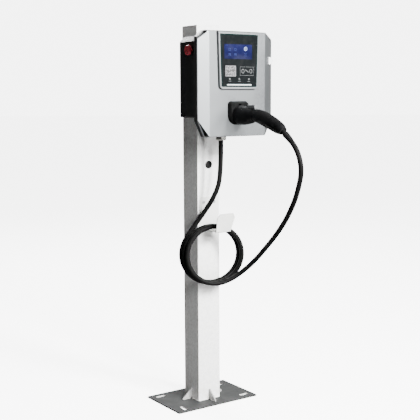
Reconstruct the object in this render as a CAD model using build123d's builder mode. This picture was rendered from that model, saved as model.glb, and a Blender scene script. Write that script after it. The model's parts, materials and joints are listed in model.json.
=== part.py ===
from build123d import *
from math import cos, pi, radians, sin, tan
import os

os.makedirs("parts", exist_ok=True)

# ---------------------------------------------------------------- driving dimensions, millimetres
# frame: origin under the middle of the base plate, on the post's axis; the box faces -Y; +Z is up

post_size = 100.0
post_wall = 3.0
post_height = 1450.0
cap_thickness = 4.0

plate_x = 368.0
plate_y = 232.0
plate_thickness = 6.0
anchor_x = 284.0
anchor_y = 168.0
slot_length = 40.0
slot_width = 14.0
cable_way_radius = 30.0

gusset_length = 43.0
gusset_height = 40.0
gusset_thickness = 5.0

grommet_z = 928.0
grommet_radius = 15.0

hook_width = 84.0
hook_top = 806.0
hook_sheet = 3.0
arm_top = 681.0
arm_reach = 146.0
arm_half_width = 18.0
tab_lean = 25.0
tab_height = 71.0

bracket_depth = 6.0
box_back = -(post_size / 2 + bracket_depth)
skirt_back = -203.0
gasket_back = -222.5
cover_back = -224.0
cover_front = -238.0
frame_front = -247.0
glass_front = -248.0

box_half_width = 131.0
box_bottom = 1109.0
box_top = 1401.0
box_corner = 19.0
housing_wall = 3.0
duct_half_width = 45.0
duct_bottom = 1060.0
duct_back = -95.0

cover_half_width = 164.0
face_half_width = 124.0
cover_top = 1414.0
cover_bottom = 1043.0
rim_top = 1385.0
rim_bottom = 1102.0
cover_wall = 2.5

holster_z = 1119.0
socket_radius = 28.0
holster_front = -253.0
socket_floor = -199.0

gland_y = -133.0
gland_low = 1024.0
cable_radius = 9.0

stop_y = -140.0
stop_z = 1350.0
stop_travel = 5.0

coil_radius = 109.0
coil_turn = 20.0
coil_centre = (-17.0, -75.0, 589.6)
coil_pitch = 21.0
coil_start_angle = 145.0
coil_end_angle = 1020.0
last_top_angle = 810.0

screw_clearance = 3.2
tapped_hole = 2.6

outer_half = post_size / 2
box_back_inner = box_back - housing_wall
box_foot_height = 6.0
box_foot_spots = [(x, z) for x in (-100, 100) for z in (1135, 1375)]


def save(part, name):
    """Label one finished piece and write its STEP file."""
    part.label = name
    export_step(part, f"parts/{name}.step")


def facing_front(y):
    """A sketch plane that looks along -Y, with its local x on +X and local y on +Z."""
    return Plane(origin=(0, y, 0), x_dir=(1, 0, 0), z_dir=(0, -1, 0))


def side_view(x):
    """A sketch plane with its local x on +Y, local y on +Z and its normal on +X."""
    return Plane(origin=(x, 0, 0), x_dir=(0, 1, 0), z_dir=(1, 0, 0))


def bevelled_outline(half_width, inner_half, top, bottom, high, low, corner):
    """The eight-cornered outline that the cover and the flange share, as a closed face."""
    with BuildSketch(Plane.XY) as outline:
        with BuildLine():
            Polyline(
                (-half_width, low), (-half_width, high), (-inner_half, top), (inner_half, top),
                (half_width, high), (half_width, low), (inner_half, bottom), (-inner_half, bottom),
                close=True,
            )
        make_face()
        fillet(outline.vertices(), corner)
    return outline.sketch


# ---------------------------------------------------------------- base, gussets, post and cap

anchor_spots = [
    (-anchor_x / 2, anchor_y / 2, 0),
    (anchor_x / 2, -anchor_y / 2, 0),
    (-anchor_x / 2, -anchor_y / 2, 90),
    (anchor_x / 2, anchor_y / 2, 90),
]

with BuildPart() as base_plate:
    with BuildSketch(Plane.XY):
        RectangleRounded(plate_x, plate_y, 5)
        Circle(cable_way_radius, mode=Mode.SUBTRACT)
        for spot_x, spot_y, turn in anchor_spots:
            with Locations(Location((spot_x, spot_y), turn)):
                SlotOverall(slot_length, slot_width, mode=Mode.SUBTRACT)
    extrude(amount=plate_thickness)
    top_edges = base_plate.faces().sort_by(Axis.Z)[-1].outer_wire().edges()
    chamfer(top_edges, 0.8)
save(base_plate.part, "base_plate")

gusset_sides = {"right": 0, "back": 90, "left": 180, "front": 270}
for side, turn in gusset_sides.items():
    with BuildPart() as gusset:
        with BuildSketch(Plane.XZ.offset(-gusset_thickness / 2)):
            with BuildLine():
                Polyline(
                    (outer_half, plate_thickness + 8),
                    (outer_half, plate_thickness + gusset_height),
                    (outer_half + 4, plate_thickness + gusset_height),
                    (outer_half + gusset_length, plate_thickness + 4),
                    (outer_half + gusset_length, plate_thickness),
                    (outer_half + 8, plate_thickness),
                    close=True,
                )
            make_face()
        extrude(amount=gusset_thickness)
    save(gusset.part.rotate(Axis.Z, turn), f"gusset_{side}")

bracket_screw_spots = [(x, z) for x in (-32, 32) for z in (1175, 1350)]
hook_screw_spots = [(x, 786) for x in (-24, 24)]
supply_z = 1225.0
supply_radius = 13.0

with BuildPart() as post_tube:
    with BuildSketch(Plane.XY.offset(plate_thickness)):
        RectangleRounded(post_size, post_size, 2.5)
        Rectangle(post_size - 2 * post_wall, post_size - 2 * post_wall, mode=Mode.SUBTRACT)
    extrude(amount=post_height - cap_thickness - plate_thickness)
    with BuildSketch(facing_front(-outer_half + post_wall)):
        with Locations((0, grommet_z)):
            Circle(grommet_radius - 2)
        with Locations((0, supply_z)):
            Circle(supply_radius)
        with Locations(*bracket_screw_spots, *hook_screw_spots):
            Circle(screw_clearance)
    extrude(amount=post_wall, mode=Mode.SUBTRACT)
save(post_tube.part, "post_tube")

with BuildPart() as post_cap:
    with BuildSketch(Plane.XY.offset(post_height - cap_thickness)):
        RectangleRounded(post_size, post_size, 2.5)
    extrude(amount=cap_thickness)
    chamfer(post_cap.faces().sort_by(Axis.Z)[-1].edges(), 1.0)
    with BuildSketch(Plane.XY.offset(post_height - cap_thickness)):
        inside = post_size - 2 * post_wall - 0.4
        Rectangle(inside, inside)
        Rectangle(inside - 5, inside - 5, mode=Mode.SUBTRACT)
    extrude(amount=-12)
save(post_cap.part, "post_cap")

grommet_lip = 2.0
with BuildPart() as grommet:
    with BuildSketch(facing_front(-outer_half)):
        with Locations((0, grommet_z)):
            Circle(grommet_radius)
    extrude(amount=grommet_lip)
    with BuildSketch(facing_front(-outer_half)):
        with Locations((0, grommet_z)):
            Circle(grommet_radius - 2.1)
    extrude(amount=-post_wall)
    with BuildSketch(facing_front(-outer_half + post_wall)):
        with Locations((0, grommet_z)):
            Circle(grommet_radius - 0.5)
    extrude(amount=-grommet_lip)
    with BuildSketch(facing_front(-outer_half - grommet_lip)):
        with Locations((0, grommet_z)):
            Circle(grommet_radius - 4)
    extrude(amount=-grommet_lip - post_wall, mode=Mode.SUBTRACT)
save(grommet.part, "post_grommet")

# ---------------------------------------------------------------- cable hook and its screws

tab_foot = 32.0
tab_shoulder = 40.0
tab_top_half = 29.0
arm_neck = outer_half + 24
hook_back = -outer_half - hook_sheet / 2
arm_middle = arm_top - hook_sheet / 2
tab_top = arm_top + tab_height

with BuildPart() as hook_space:
    with BuildSketch(facing_front(-outer_half + 1)) as back_view:
        with Locations((0, (arm_top + hook_top) / 2 - 10)):
            Rectangle(hook_width, hook_top - arm_top + 20)
        fillet(back_view.vertices().group_by(Axis.Y)[-1], 10)
    extrude(amount=9)
    with BuildSketch(Plane.XY.offset(arm_top - 12)):
        with BuildLine():
            Polyline(
                (-hook_width / 2, -outer_half), (-arm_half_width, -arm_neck),
                (-arm_half_width, -arm_reach + 8), (-tab_foot, -arm_reach),
                (-tab_foot, -arm_reach - 8), (tab_foot, -arm_reach - 8),
                (tab_foot, -arm_reach), (arm_half_width, -arm_reach + 8),
                (arm_half_width, -arm_neck), (hook_width / 2, -outer_half),
                close=True,
            )
        make_face()
    extrude(amount=18)
    with BuildSketch(facing_front(-arm_reach + 4)):
        with BuildLine():
            Polyline(
                (-tab_foot, arm_top - 6), (-tab_shoulder, tab_top - 16), (-tab_top_half, tab_top),
                (tab_top_half, tab_top), (tab_shoulder, tab_top - 16), (tab_foot, arm_top - 6),
                close=True,
            )
        make_face()
    extrude(amount=40)

with BuildPart() as cable_hook:
    with BuildSketch(side_view(-hook_width / 2)):
        with BuildLine() as hook_path:
            FilletPolyline(
                (hook_back, hook_top + 5), (hook_back, arm_middle), (-arm_reach, arm_middle),
                (-arm_reach - tab_lean, arm_middle + tab_height + 5),
                radius=6,
            )
        trace(hook_path.line, line_width=hook_sheet)
    extrude(amount=hook_width)
    add(hook_space.part, mode=Mode.INTERSECT)
    for screw_x, screw_z in hook_screw_spots:
        with Locations(Plane(origin=(screw_x, -outer_half - hook_sheet, screw_z), z_dir=(0, -1, 0))):
            CounterSinkHole(radius=screw_clearance, counter_sink_radius=6.2, depth=hook_sheet)
save(cable_hook.part, "cable_hook")


def countersunk_screws(spots, face_y, radius, head_radius, length, name):
    """Countersunk screws driven along +Y, heads flush with the plane at face_y."""
    with BuildPart() as screws:
        for screw_x, screw_z in spots:
            with Locations(Plane(origin=(screw_x, face_y, screw_z), z_dir=(0, 1, 0))):
                Cone(head_radius, radius, head_radius - radius,
                     align=(Align.CENTER, Align.CENTER, Align.MIN))
                Cylinder(radius, length, align=(Align.CENTER, Align.CENTER, Align.MIN))
            with BuildSketch(Plane(origin=(screw_x, face_y, screw_z), z_dir=(0, 1, 0))):
                RegularPolygon(2.3, 6)
            extrude(amount=1.6, mode=Mode.SUBTRACT)
    save(screws.part, name)


countersunk_screws(hook_screw_spots, -outer_half - hook_sheet, 3.0, 6.0, 16, "hook_screws")

# ---------------------------------------------------------------- bracket between post and box

housing_screw_spots = [(x, z) for x in (-60, 60) for z in (1160, 1365)]

bracket_width = 150.0
bracket_height = 240.0
bracket_middle = 1262.0

with BuildPart() as box_bracket:
    with BuildSketch(facing_front(-outer_half)):
        with Locations((0, bracket_middle)):
            RectangleRounded(bracket_width, bracket_height, 8)
        with Locations((0, supply_z)):
            RectangleRounded(40, 60, 6, mode=Mode.SUBTRACT)
        with Locations(*housing_screw_spots):
            Circle(tapped_hole, mode=Mode.SUBTRACT)
    extrude(amount=bracket_depth)
    for screw_x, screw_z in bracket_screw_spots:
        with Locations(Plane(origin=(screw_x, box_back, screw_z), z_dir=(0, -1, 0))):
            CounterSinkHole(radius=screw_clearance, counter_sink_radius=6.6, depth=bracket_depth)
save(box_bracket.part, "box_bracket")

countersunk_screws(bracket_screw_spots, box_back, 3.0, 6.2, 18, "bracket_screws")


def pan_screws(spots, face_y, radius, head_radius, head_height, length, name):
    """Socket-head screws driven along +Y, each head standing in front of the plane at face_y."""
    with BuildPart() as screws:
        for screw_x, screw_z in spots:
            with BuildSketch(Plane(origin=(screw_x, face_y, screw_z), z_dir=(0, 1, 0))):
                Circle(radius)
            extrude(amount=length)
            with BuildSketch(Plane(origin=(screw_x, face_y, screw_z), z_dir=(0, -1, 0))):
                Circle(head_radius)
            extrude(amount=head_height)
            with BuildSketch(Plane(origin=(screw_x, face_y - head_height, screw_z), z_dir=(0, 1, 0))):
                RegularPolygon(head_radius * 0.45, 6)
            extrude(amount=head_height * 0.6, mode=Mode.SUBTRACT)
    save(screws.part, name)


pan_screws(housing_screw_spots, box_back_inner, 2.5, 5.0, 3.5, 8.5, "housing_screws")

# ---------------------------------------------------------------- black rear housing

cover_screw_spots = [(x, z) for x in (-148, 148) for z in (1140, 1360)] + [(-85, 1053), (85, 1053)]

box_outline_points = [
    (-box_half_width, box_bottom),
    (-box_half_width, box_top - box_corner),
    (-box_half_width + box_corner, box_top),
    (box_half_width - box_corner, box_top),
    (box_half_width, box_top - box_corner),
    (box_half_width, box_bottom),
]

with BuildSketch(Plane.XY) as box_outline:
    with BuildLine():
        Polyline(*box_outline_points, close=True)
    make_face()
    fillet(box_outline.vertices().group_by(Axis.Y)[0], 6)

flange_outline = bevelled_outline(
    cover_half_width + 1.5, face_half_width + 13, cover_top + 3, cover_bottom - 2, rim_top + 7,
    rim_bottom - 2, 9
)
cover_outline = bevelled_outline(
    cover_half_width, face_half_width, cover_top, cover_bottom, rim_top, rim_bottom, 7
)


def inset(sketch, distance):
    """The same outline moved inwards by the distance."""
    with BuildSketch(Plane.XY) as smaller:
        add(sketch)
        offset(amount=-distance, kind=Kind.INTERSECTION)
    return smaller.sketch


gland_hole = 16.2
stop_hole = 11.1
with BuildPart() as rear_housing:
    with BuildSketch(facing_front(box_back)):
        add(box_outline.sketch)
    extrude(amount=box_back - skirt_back)
    rear_rim = rear_housing.faces().sort_by(Axis.Y)[-1].edges()
    chamfer(rear_rim, 2.5)
    with BuildSketch(facing_front(skirt_back)):
        add(flange_outline)
    extrude(amount=skirt_back - gasket_back)
    with BuildSketch(Plane.XY.offset(duct_bottom)) as duct_plan:
        with Locations((0, (duct_back + skirt_back) / 2)):
            Rectangle(2 * duct_half_width, duct_back - skirt_back)
        fillet(duct_plan.vertices().group_by(Axis.Y)[-1], 10)
    extrude(amount=box_bottom - duct_bottom + 1)
    with BuildSketch(facing_front(box_back_inner)):
        add(inset(box_outline.sketch, housing_wall))
    extrude(amount=box_back_inner - skirt_back + housing_wall, mode=Mode.SUBTRACT)
    with BuildSketch(facing_front(skirt_back - housing_wall)):
        add(inset(flange_outline, housing_wall))
    extrude(amount=30, mode=Mode.SUBTRACT)
    with BuildSketch(Plane.XY.offset(duct_bottom + housing_wall)):
        with Locations((0, (duct_back + skirt_back) / 2 - housing_wall)):
            Rectangle(2 * duct_half_width - 2 * housing_wall, duct_back - skirt_back)
    extrude(amount=box_bottom - duct_bottom + 1, mode=Mode.SUBTRACT)
    with BuildSketch(Plane.XY.offset(duct_bottom)):
        with Locations((0, gland_y)):
            Circle(gland_hole)
    extrude(amount=housing_wall, mode=Mode.SUBTRACT)
    with BuildSketch(side_view(-box_half_width)):
        with Locations((stop_y, stop_z)):
            Circle(stop_hole)
    extrude(amount=housing_wall, mode=Mode.SUBTRACT)
    with BuildSketch(facing_front(box_back)):
        with Locations((0, supply_z)):
            Circle(supply_radius)
        with Locations(*housing_screw_spots):
            Circle(tapped_hole)
    extrude(amount=housing_wall, mode=Mode.SUBTRACT)
    with BuildSketch(facing_front(skirt_back)):
        with Locations(*cover_screw_spots):
            Circle(2.1)
    extrude(amount=housing_wall, mode=Mode.SUBTRACT)
    with BuildSketch(facing_front(box_back_inner)):
        with Locations(*box_foot_spots):
            Circle(5)
    extrude(amount=box_foot_height)
save(rear_housing.part, "rear_housing")

with BuildPart() as cover_gasket:
    with BuildSketch(facing_front(gasket_back)):
        add(inset(cover_outline, 0.3))
        add(inset(cover_outline, 4.5), mode=Mode.SUBTRACT)
    extrude(amount=gasket_back - cover_back)
save(cover_gasket.part, "cover_gasket")

# ---------------------------------------------------------------- silver front cover


def cover_plan(inset_by):
    """Plan of the cover, its two slanted sides included, moved inwards by inset_by."""
    with BuildSketch(Plane.XY) as plan:
        with BuildLine():
            Polyline(
                (-cover_half_width + inset_by, cover_back + inset_by),
                (-cover_half_width + inset_by, cover_back + inset_by - 0.5),
                (-face_half_width + 0.2 * inset_by, cover_front + inset_by),
                (face_half_width - 0.2 * inset_by, cover_front + inset_by),
                (cover_half_width - inset_by, cover_back + inset_by - 0.5),
                (cover_half_width - inset_by, cover_back + inset_by),
                close=True,
            )
        make_face()
    return plan.sketch


def d_outline(half_width, low, high, top_corner, bottom_corner):
    """Flat-topped outline with a round lower end, as a closed face about x = 0."""
    with BuildSketch(Plane.XY) as shape:
        with Locations((0, (low + high) / 2)):
            Rectangle(2 * half_width, high - low)
        fillet(shape.vertices().group_by(Axis.Y)[-1], top_corner)
        fillet(shape.vertices().group_by(Axis.Y)[0], bottom_corner)
    return shape.sketch


frame_top_half = 91.0
frame_low_half = 84.0
frame_bottom = 1210.0

with BuildSketch(Plane.XY) as frame_outline:
    with BuildLine():
        Polyline(
            (-frame_top_half, cover_top), (frame_top_half, cover_top),
            (frame_low_half, frame_bottom), (-frame_low_half, frame_bottom),
            close=True,
        )
    make_face()
    fillet(frame_outline.vertices().group_by(Axis.Y)[0], 15)
    fillet(frame_outline.vertices().group_by(Axis.Y)[-1], 2)

holster_hole = d_outline(36, 1087, 1163, 8, 32)
holster_outline = d_outline(44.5, 1084, 1168, 12, 36)
cap_y = -229.0
cap_z = 1315.0
cap_height = 26.0

with BuildPart() as cover_hollow:
    with BuildSketch(Plane.XY.offset(cover_bottom - 10)):
        add(cover_plan(cover_wall))
    extrude(amount=cover_top - cover_bottom + 20)
    with BuildSketch(facing_front(cover_back + cover_wall + 1)):
        add(inset(cover_outline, cover_wall))
    extrude(amount=30, mode=Mode.INTERSECT)

with BuildPart() as front_cover:
    with BuildSketch(Plane.XY.offset(cover_bottom - 10)):
        add(cover_plan(0))
    extrude(amount=cover_top - cover_bottom + 20)
    with BuildSketch(facing_front(cover_back + 1)):
        add(cover_outline)
    extrude(amount=30, mode=Mode.INTERSECT)
    add(cover_hollow.part, mode=Mode.SUBTRACT)
    with BuildSketch(facing_front(cover_back + 5)):
        with Locations((0, 1312)):
            RectangleRounded(140, 170, 6)
        add(holster_hole)
    extrude(amount=30, mode=Mode.SUBTRACT)
    with BuildSketch(facing_front(cover_front + 1)):
        add(inset(frame_outline.sketch, -1.8))
        add(inset(frame_outline.sketch, 0.6), mode=Mode.SUBTRACT)
    extrude(amount=2, mode=Mode.SUBTRACT)
    with BuildSketch(facing_front(skirt_back - housing_wall)):
        with Locations(*cover_screw_spots):
            Circle(4.2)
            Circle(1.6, mode=Mode.SUBTRACT)
    extrude(until=Until.NEXT)
    with BuildSketch(Plane.YZ.offset(cover_half_width - 40)):
        with Locations((cap_y, cap_z)):
            Circle(4.1)
    extrude(amount=60, mode=Mode.SUBTRACT)
save(front_cover.part, "front_cover")

pan_screw_length = 14.0
with BuildPart() as cover_screws:
    for screw_x, screw_z in cover_screw_spots:
        with BuildSketch(Plane(origin=(screw_x, skirt_back, screw_z), z_dir=(0, -1, 0))):
            Circle(1.55)
        extrude(amount=pan_screw_length)
        with BuildSketch(Plane(origin=(screw_x, skirt_back, screw_z), z_dir=(0, 1, 0))):
            Circle(3.8)
        extrude(amount=2.6)
        with BuildSketch(Plane(origin=(screw_x, skirt_back + 2.6, screw_z), z_dir=(0, -1, 0))):
            RegularPolygon(1.7, 6)
        extrude(amount=1.6, mode=Mode.SUBTRACT)
save(cover_screws.part, "cover_screws")

with BuildPart() as side_cap:
    with BuildSketch(Plane.XY.offset(cap_z - cap_height / 2)):
        with BuildLine():
            Polyline(
                (141, -232.7), (164.4, -224.8), (166.8, -225.4), (167.5, -227), (160, -234.4), (142, -239),
                close=True,
            )
        make_face()
    extrude(amount=cap_height)
    with BuildSketch(facing_front(-220)) as cap_front:
        with BuildLine():
            Polyline(
                (140, cap_z - 13), (148, cap_z - 13), (168.5, cap_z - 4), (168.5, cap_z + 4),
                (148, cap_z + 13), (140, cap_z + 13),
                close=True,
            )
        make_face()
        fillet(cap_front.vertices(), 2.5)
    extrude(amount=24, mode=Mode.INTERSECT)
    with BuildSketch(Plane.YZ.offset(150)):
        with Locations((cap_y, cap_z)):
            Circle(3.9)
    extrude(amount=-8)
save(side_cap.part, "side_cap")

# ---------------------------------------------------------------- display

glass_top_half = 84.0
glass_low_half = 78.0
glass_top = 1405.0
glass_bottom = 1219.0
glass_back = glass_front + 3.0
bar_z = 1226.3

with BuildSketch(Plane.XY) as glass_outline:
    with BuildLine():
        Polyline(
            (-glass_top_half, glass_top), (glass_top_half, glass_top),
            (glass_low_half, glass_bottom), (-glass_low_half, glass_bottom),
            close=True,
        )
    make_face()
    fillet(glass_outline.vertices(), 4)

with BuildPart() as display_frame:
    with BuildSketch(facing_front(cover_front)):
        add(inset(frame_outline.sketch, 0.4))
    extrude(amount=cover_front - frame_front)
    chamfer(display_frame.faces().sort_by(Axis.Y)[0].edges(), 1.5)
    with BuildSketch(facing_front(glass_back)):
        add(inset(glass_outline.sketch, -0.3))
    extrude(amount=10, mode=Mode.SUBTRACT)
    with BuildSketch(facing_front(cover_front)):
        with Locations((0, 1308.5)):
            RectangleRounded(134, 173, 5)
    extrude(amount=20, mode=Mode.SUBTRACT)
save(display_frame.part, "display_frame")

with BuildPart() as display_glass:
    with BuildSketch(facing_front(glass_back)):
        add(glass_outline.sketch)
    extrude(amount=glass_back - glass_front)
    chamfer(display_glass.faces().sort_by(Axis.Y)[0].edges(), 0.6)
    with BuildSketch(facing_front(glass_back)):
        with Locations((0, bar_z)):
            SlotOverall(112, 6.6)
    extrude(amount=4, mode=Mode.SUBTRACT)
save(display_glass.part, "display_glass")

with BuildPart() as light_bar:
    with BuildSketch(facing_front(glass_back + 5)):
        with Locations((0, bar_z + 6)):
            Rectangle(100, 12)
    extrude(amount=4.8)
    with BuildSketch(facing_front(glass_back + 4)):
        with Locations((0, bar_z)):
            SlotOverall(111.6, 6.2)
    extrude(amount=7.4)
    with BuildSketch(facing_front(glass_back + 5)):
        with Locations((0, bar_z - 4)):
            Rectangle(140, 7)
    extrude(amount=5, mode=Mode.SUBTRACT)
save(light_bar.part, "light_bar")


def plain_box(name, x_range, y_range, z_range, corner=1.0):
    """A closed box between the given limits, its upright edges rounded."""
    with BuildPart() as block:
        with BuildSketch(facing_front(y_range[1])):
            with Locations((sum(x_range) / 2, sum(z_range) / 2)):
                RectangleRounded(x_range[1] - x_range[0], z_range[1] - z_range[0], corner)
        extrude(amount=y_range[1] - y_range[0])
    save(block.part, name)


plain_box("screen_module", (-66, 62), (glass_back, glass_back + 8), (1311, 1376))
plain_box("card_reader", (8, 62), (glass_back, glass_back + 4), (1256, 1294))

indicator_z = 1247.0
with BuildPart() as indicator_board:
    with BuildSketch(facing_front(glass_back + 8)):
        with Locations((0, indicator_z)):
            RectangleRounded(120, 14, 2)
    extrude(amount=1.6)
    for lamp_x in (-42, 0, 42):
        with BuildSketch(facing_front(glass_back + 7)):
            with Locations((lamp_x, indicator_z)):
                Circle(3)
        extrude(amount=6.9)
save(indicator_board.part, "indicator_board")

# ---------------------------------------------------------------- holster

with BuildPart() as holster:
    with BuildSketch(facing_front(cover_front)):
        add(holster_outline)
    extrude(amount=3)
    with BuildSketch(facing_front(cover_front - 3)):
        add(holster_outline)
    extrude(amount=cover_front - 3 - holster_front, taper=30)
    with BuildSketch(facing_front(cover_front)):
        with Locations((0, holster_z)):
            Circle(socket_radius + 2.5)
        with Locations((0, holster_z + 34)):
            Rectangle(16, 16)
    extrude(amount=socket_floor - cover_front + 3, dir=(0, 1, 0))
    with BuildSketch(facing_front(socket_floor)):
        with Locations((0, holster_z)):
            Circle(socket_radius)
        with Locations((0, holster_z + 30)):
            Rectangle(12, 19)
    extrude(amount=80, mode=Mode.SUBTRACT)
save(holster.part, "connector_holster")

# ---------------------------------------------------------------- inside the box

plate_back = box_back_inner - box_foot_height
plate_front = plate_back - 2

with BuildPart() as component_plate:
    with BuildSketch(facing_front(plate_back)):
        with Locations((0, 1255)):
            RectangleRounded(224, 262, 5)
        with Locations(*housing_screw_spots):
            Circle(8, mode=Mode.SUBTRACT)
        with Locations((0, supply_z)):
            Circle(supply_radius + 4, mode=Mode.SUBTRACT)
    extrude(amount=plate_back - plate_front)
save(component_plate.part, "component_plate")

contactor_x = -62.0
contactor_z = 1225.0
contactor_depth = 62.0
way_pitch = 13.0

with BuildPart() as contactor:
    with BuildSketch(facing_front(plate_front)):
        with Locations((contactor_x, contactor_z)):
            RectangleRounded(54, 82, 2)
    extrude(amount=contactor_depth)
    with BuildSketch(facing_front(plate_front - contactor_depth)):
        with Locations((contactor_x, contactor_z)):
            RectangleRounded(46, 44, 2)
    extrude(amount=14)
    for pole in range(4):
        pole_x = contactor_x + way_pitch * (pole - 1.5)
        with BuildSketch(facing_front(plate_front - 30)):
            with Locations((pole_x, contactor_z + 35), (pole_x, contactor_z - 35)):
                Rectangle(9, 13)
        extrude(amount=33, mode=Mode.SUBTRACT)
save(contactor.part, "contactor")

terminal_z = 1140.0
first_way = -58.5
with BuildPart() as terminal_block:
    with BuildSketch(facing_front(plate_front)):
        with Locations((0, terminal_z)):
            Rectangle(130, 34)
    extrude(amount=42)
    for way in range(10):
        way_x = first_way + way_pitch * way
        with BuildSketch(facing_front(plate_front - 30)):
            with Locations((way_x, terminal_z + 8), (way_x, terminal_z - 8)):
                Circle(4)
        extrude(amount=13, mode=Mode.SUBTRACT)
        with BuildSketch(Plane.XY.offset(terminal_z + 10)):
            with Locations((way_x, plate_front - 15)):
                Rectangle(8, 10)
        extrude(amount=10, mode=Mode.SUBTRACT)
save(terminal_block.part, "terminal_block")

with BuildPart() as power_wires:
    for wire_x in (first_way + way_pitch * way for way in range(4)):
        with BuildSketch(Plane.XY.offset(terminal_z + 10.2)):
            with Locations((wire_x, plate_front - 15)):
                Circle(2.6)
        extrude(amount=33.5)
save(power_wires.part, "power_wires")

with BuildPart() as current_sensor:
    with BuildSketch(Plane.XY.offset(1195)):
        with Locations((62, plate_front - 28)):
            RectangleRounded(56, 56, 6)
            Circle(13, mode=Mode.SUBTRACT)
    extrude(amount=22)
save(current_sensor.part, "current_sensor")

plain_box("power_supply", (32, 96), (plate_front - 44, plate_front), (1240, 1330), 2)

board_back = -190.0
with BuildPart() as board_standoffs:
    for foot_x, foot_z in [(-100, 1290), (100, 1200), (100, 1350), (10, 1290)]:
        with BuildSketch(facing_front(plate_front)):
            with Locations((foot_x, foot_z)):
                RegularPolygon(4, 6)
        extrude(amount=plate_front - board_back)
save(board_standoffs.part, "board_standoffs")

with BuildPart() as control_board:
    with BuildSketch(facing_front(board_back)):
        with Locations((0, 1275)):
            RectangleRounded(216, 190, 3)
    extrude(amount=1.6)
    chips = [(-60, 1330, 30, 24, 5), (20, 1340, 46, 20, 9), (70, 1250, 24, 24, 3), (-20, 1230, 60, 16, 8),
             (-80, 1250, 18, 40, 6)]
    for chip_x, chip_z, chip_wide, chip_high, chip_deep in chips:
        with BuildSketch(facing_front(board_back - 1.6)):
            with Locations((chip_x, chip_z)):
                Rectangle(chip_wide, chip_high)
        extrude(amount=chip_deep)
save(control_board.part, "control_board")

# ---------------------------------------------------------------- emergency stop button, on the left side


stop_wall = -box_half_width
stem_radius = 6.0
barrel_flange = 3.0
barrel_length = 26.0
neck_radius = 4.0
neck_start = 10.0
stop_axis = Plane(origin=(stop_wall, stop_y, stop_z), x_dir=(0, 0, 1), z_dir=(-1, 0, 0))

with BuildPart() as stop_barrel:
    with BuildSketch(stop_axis):
        Circle(15)
    extrude(amount=barrel_flange)
    chamfer(stop_barrel.faces().sort_by(Axis.X)[0].edges(), 1)
    with BuildSketch(stop_axis):
        Circle(11)
    extrude(amount=-barrel_length)
    with BuildSketch(stop_axis.offset(5)):
        Circle(stem_radius + 0.1)
    extrude(amount=-40, mode=Mode.SUBTRACT)
save(stop_barrel.part, "stop_barrel")

with BuildPart() as stop_nut:
    with BuildSketch(stop_axis.offset(-housing_wall)):
        RegularPolygon(14.5, 6, major_radius=False)
        Circle(11.05, mode=Mode.SUBTRACT)
    extrude(amount=-5)
save(stop_nut.part, "stop_nut")

with BuildPart() as stop_contacts:
    with BuildSketch(stop_axis.offset(-barrel_length)):
        Rectangle(34, 34)
    extrude(amount=-34)
    with BuildSketch(stop_axis.offset(1 - barrel_length)):
        Circle(stem_radius + 0.4)
    extrude(amount=-12, mode=Mode.SUBTRACT)
save(stop_contacts.part, "stop_contacts")

with BuildPart() as stop_stem:
    with BuildSketch(stop_axis.offset(-28)):
        Circle(stem_radius)
    extrude(amount=neck_start + 28)
    with BuildSketch(stop_axis.offset(neck_start)):
        Circle(neck_radius)
    extrude(amount=8)
save(stop_stem.part, "stop_stem")

head_back = barrel_flange + stop_travel + 2.2
head_thickness = 14.0
with BuildPart() as stop_head:
    with BuildSketch(stop_axis.offset(head_back)):
        Circle(12)
    extrude(amount=4)
    with BuildSketch(stop_axis.offset(head_back + 3)):
        Circle(18)
    extrude(amount=head_thickness - 3)
    fillet(stop_head.faces().sort_by(Axis.X)[0].edges(), 5)
    with BuildSketch(stop_axis.offset(head_back - 1)):
        Circle(neck_radius + 0.06)
    extrude(amount=9.2, mode=Mode.SUBTRACT)
    with BuildSketch(stop_axis.offset(head_back + head_thickness + 1)):
        for turn in (0, 120, 240):
            with Locations(Location((0, 0), turn)):
                with Locations((9.5, 0)):
                    SlotOverall(8, 1.8, rotation=90)
    extrude(amount=-1.6, mode=Mode.SUBTRACT)
save(stop_head.part, "stop_head")

# ---------------------------------------------------------------- cable gland under the duct


gland_flats = 18.5
gland_bore = 9.3
thread_low = 1036.0
hexagon_low = 1048.0
thread_top = 1072.0


def gland_plane(z):
    """Horizontal sketch plane on the gland's axis."""
    return Plane(origin=(0, gland_y, z))


with BuildPart() as gland_body:
    with BuildSketch(gland_plane(thread_low)):
        Circle(14)
    extrude(amount=thread_top - thread_low)
    with BuildSketch(gland_plane(hexagon_low)):
        RegularPolygon(gland_flats, 6, major_radius=False)
    extrude(amount=duct_bottom - hexagon_low)
    with BuildSketch(gland_plane(thread_low)):
        Circle(16)
    extrude(amount=hexagon_low - thread_low)
    with BuildSketch(gland_plane(thread_low - 6)):
        Circle(gland_bore)
    extrude(amount=60, mode=Mode.SUBTRACT)
save(gland_body.part, "gland_body")

with BuildPart() as gland_locknut:
    with BuildSketch(gland_plane(duct_bottom + housing_wall)):
        RegularPolygon(19, 6, major_radius=False)
        Circle(14.05, mode=Mode.SUBTRACT)
    extrude(amount=6)
save(gland_locknut.part, "gland_locknut")

with BuildPart() as gland_nut:
    with BuildSketch(gland_plane(gland_low)):
        RegularPolygon(gland_flats, 6, major_radius=False)
    extrude(amount=23.6)
    chamfer(gland_nut.faces().sort_by(Axis.Z)[0].edges(), 2.5)
    with BuildSketch(gland_plane(gland_low - 1)):
        Circle(gland_bore)
    extrude(amount=30, mode=Mode.SUBTRACT)
    with BuildSketch(gland_plane(gland_low + 4)):
        Circle(16.05)
    extrude(amount=30, mode=Mode.SUBTRACT)
save(gland_nut.part, "gland_nut")

with BuildPart() as gland_seal:
    with BuildSketch(gland_plane(gland_low + 4.2)):
        Circle(15.5)
        Circle(9.1, mode=Mode.SUBTRACT)
    extrude(amount=7.5)
save(gland_seal.part, "gland_seal")

with BuildPart() as cable_entry:
    with BuildSketch(gland_plane(gland_low)):
        Circle(cable_radius)
    extrude(amount=86)
save(cable_entry.part, "cable_entry")

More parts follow.
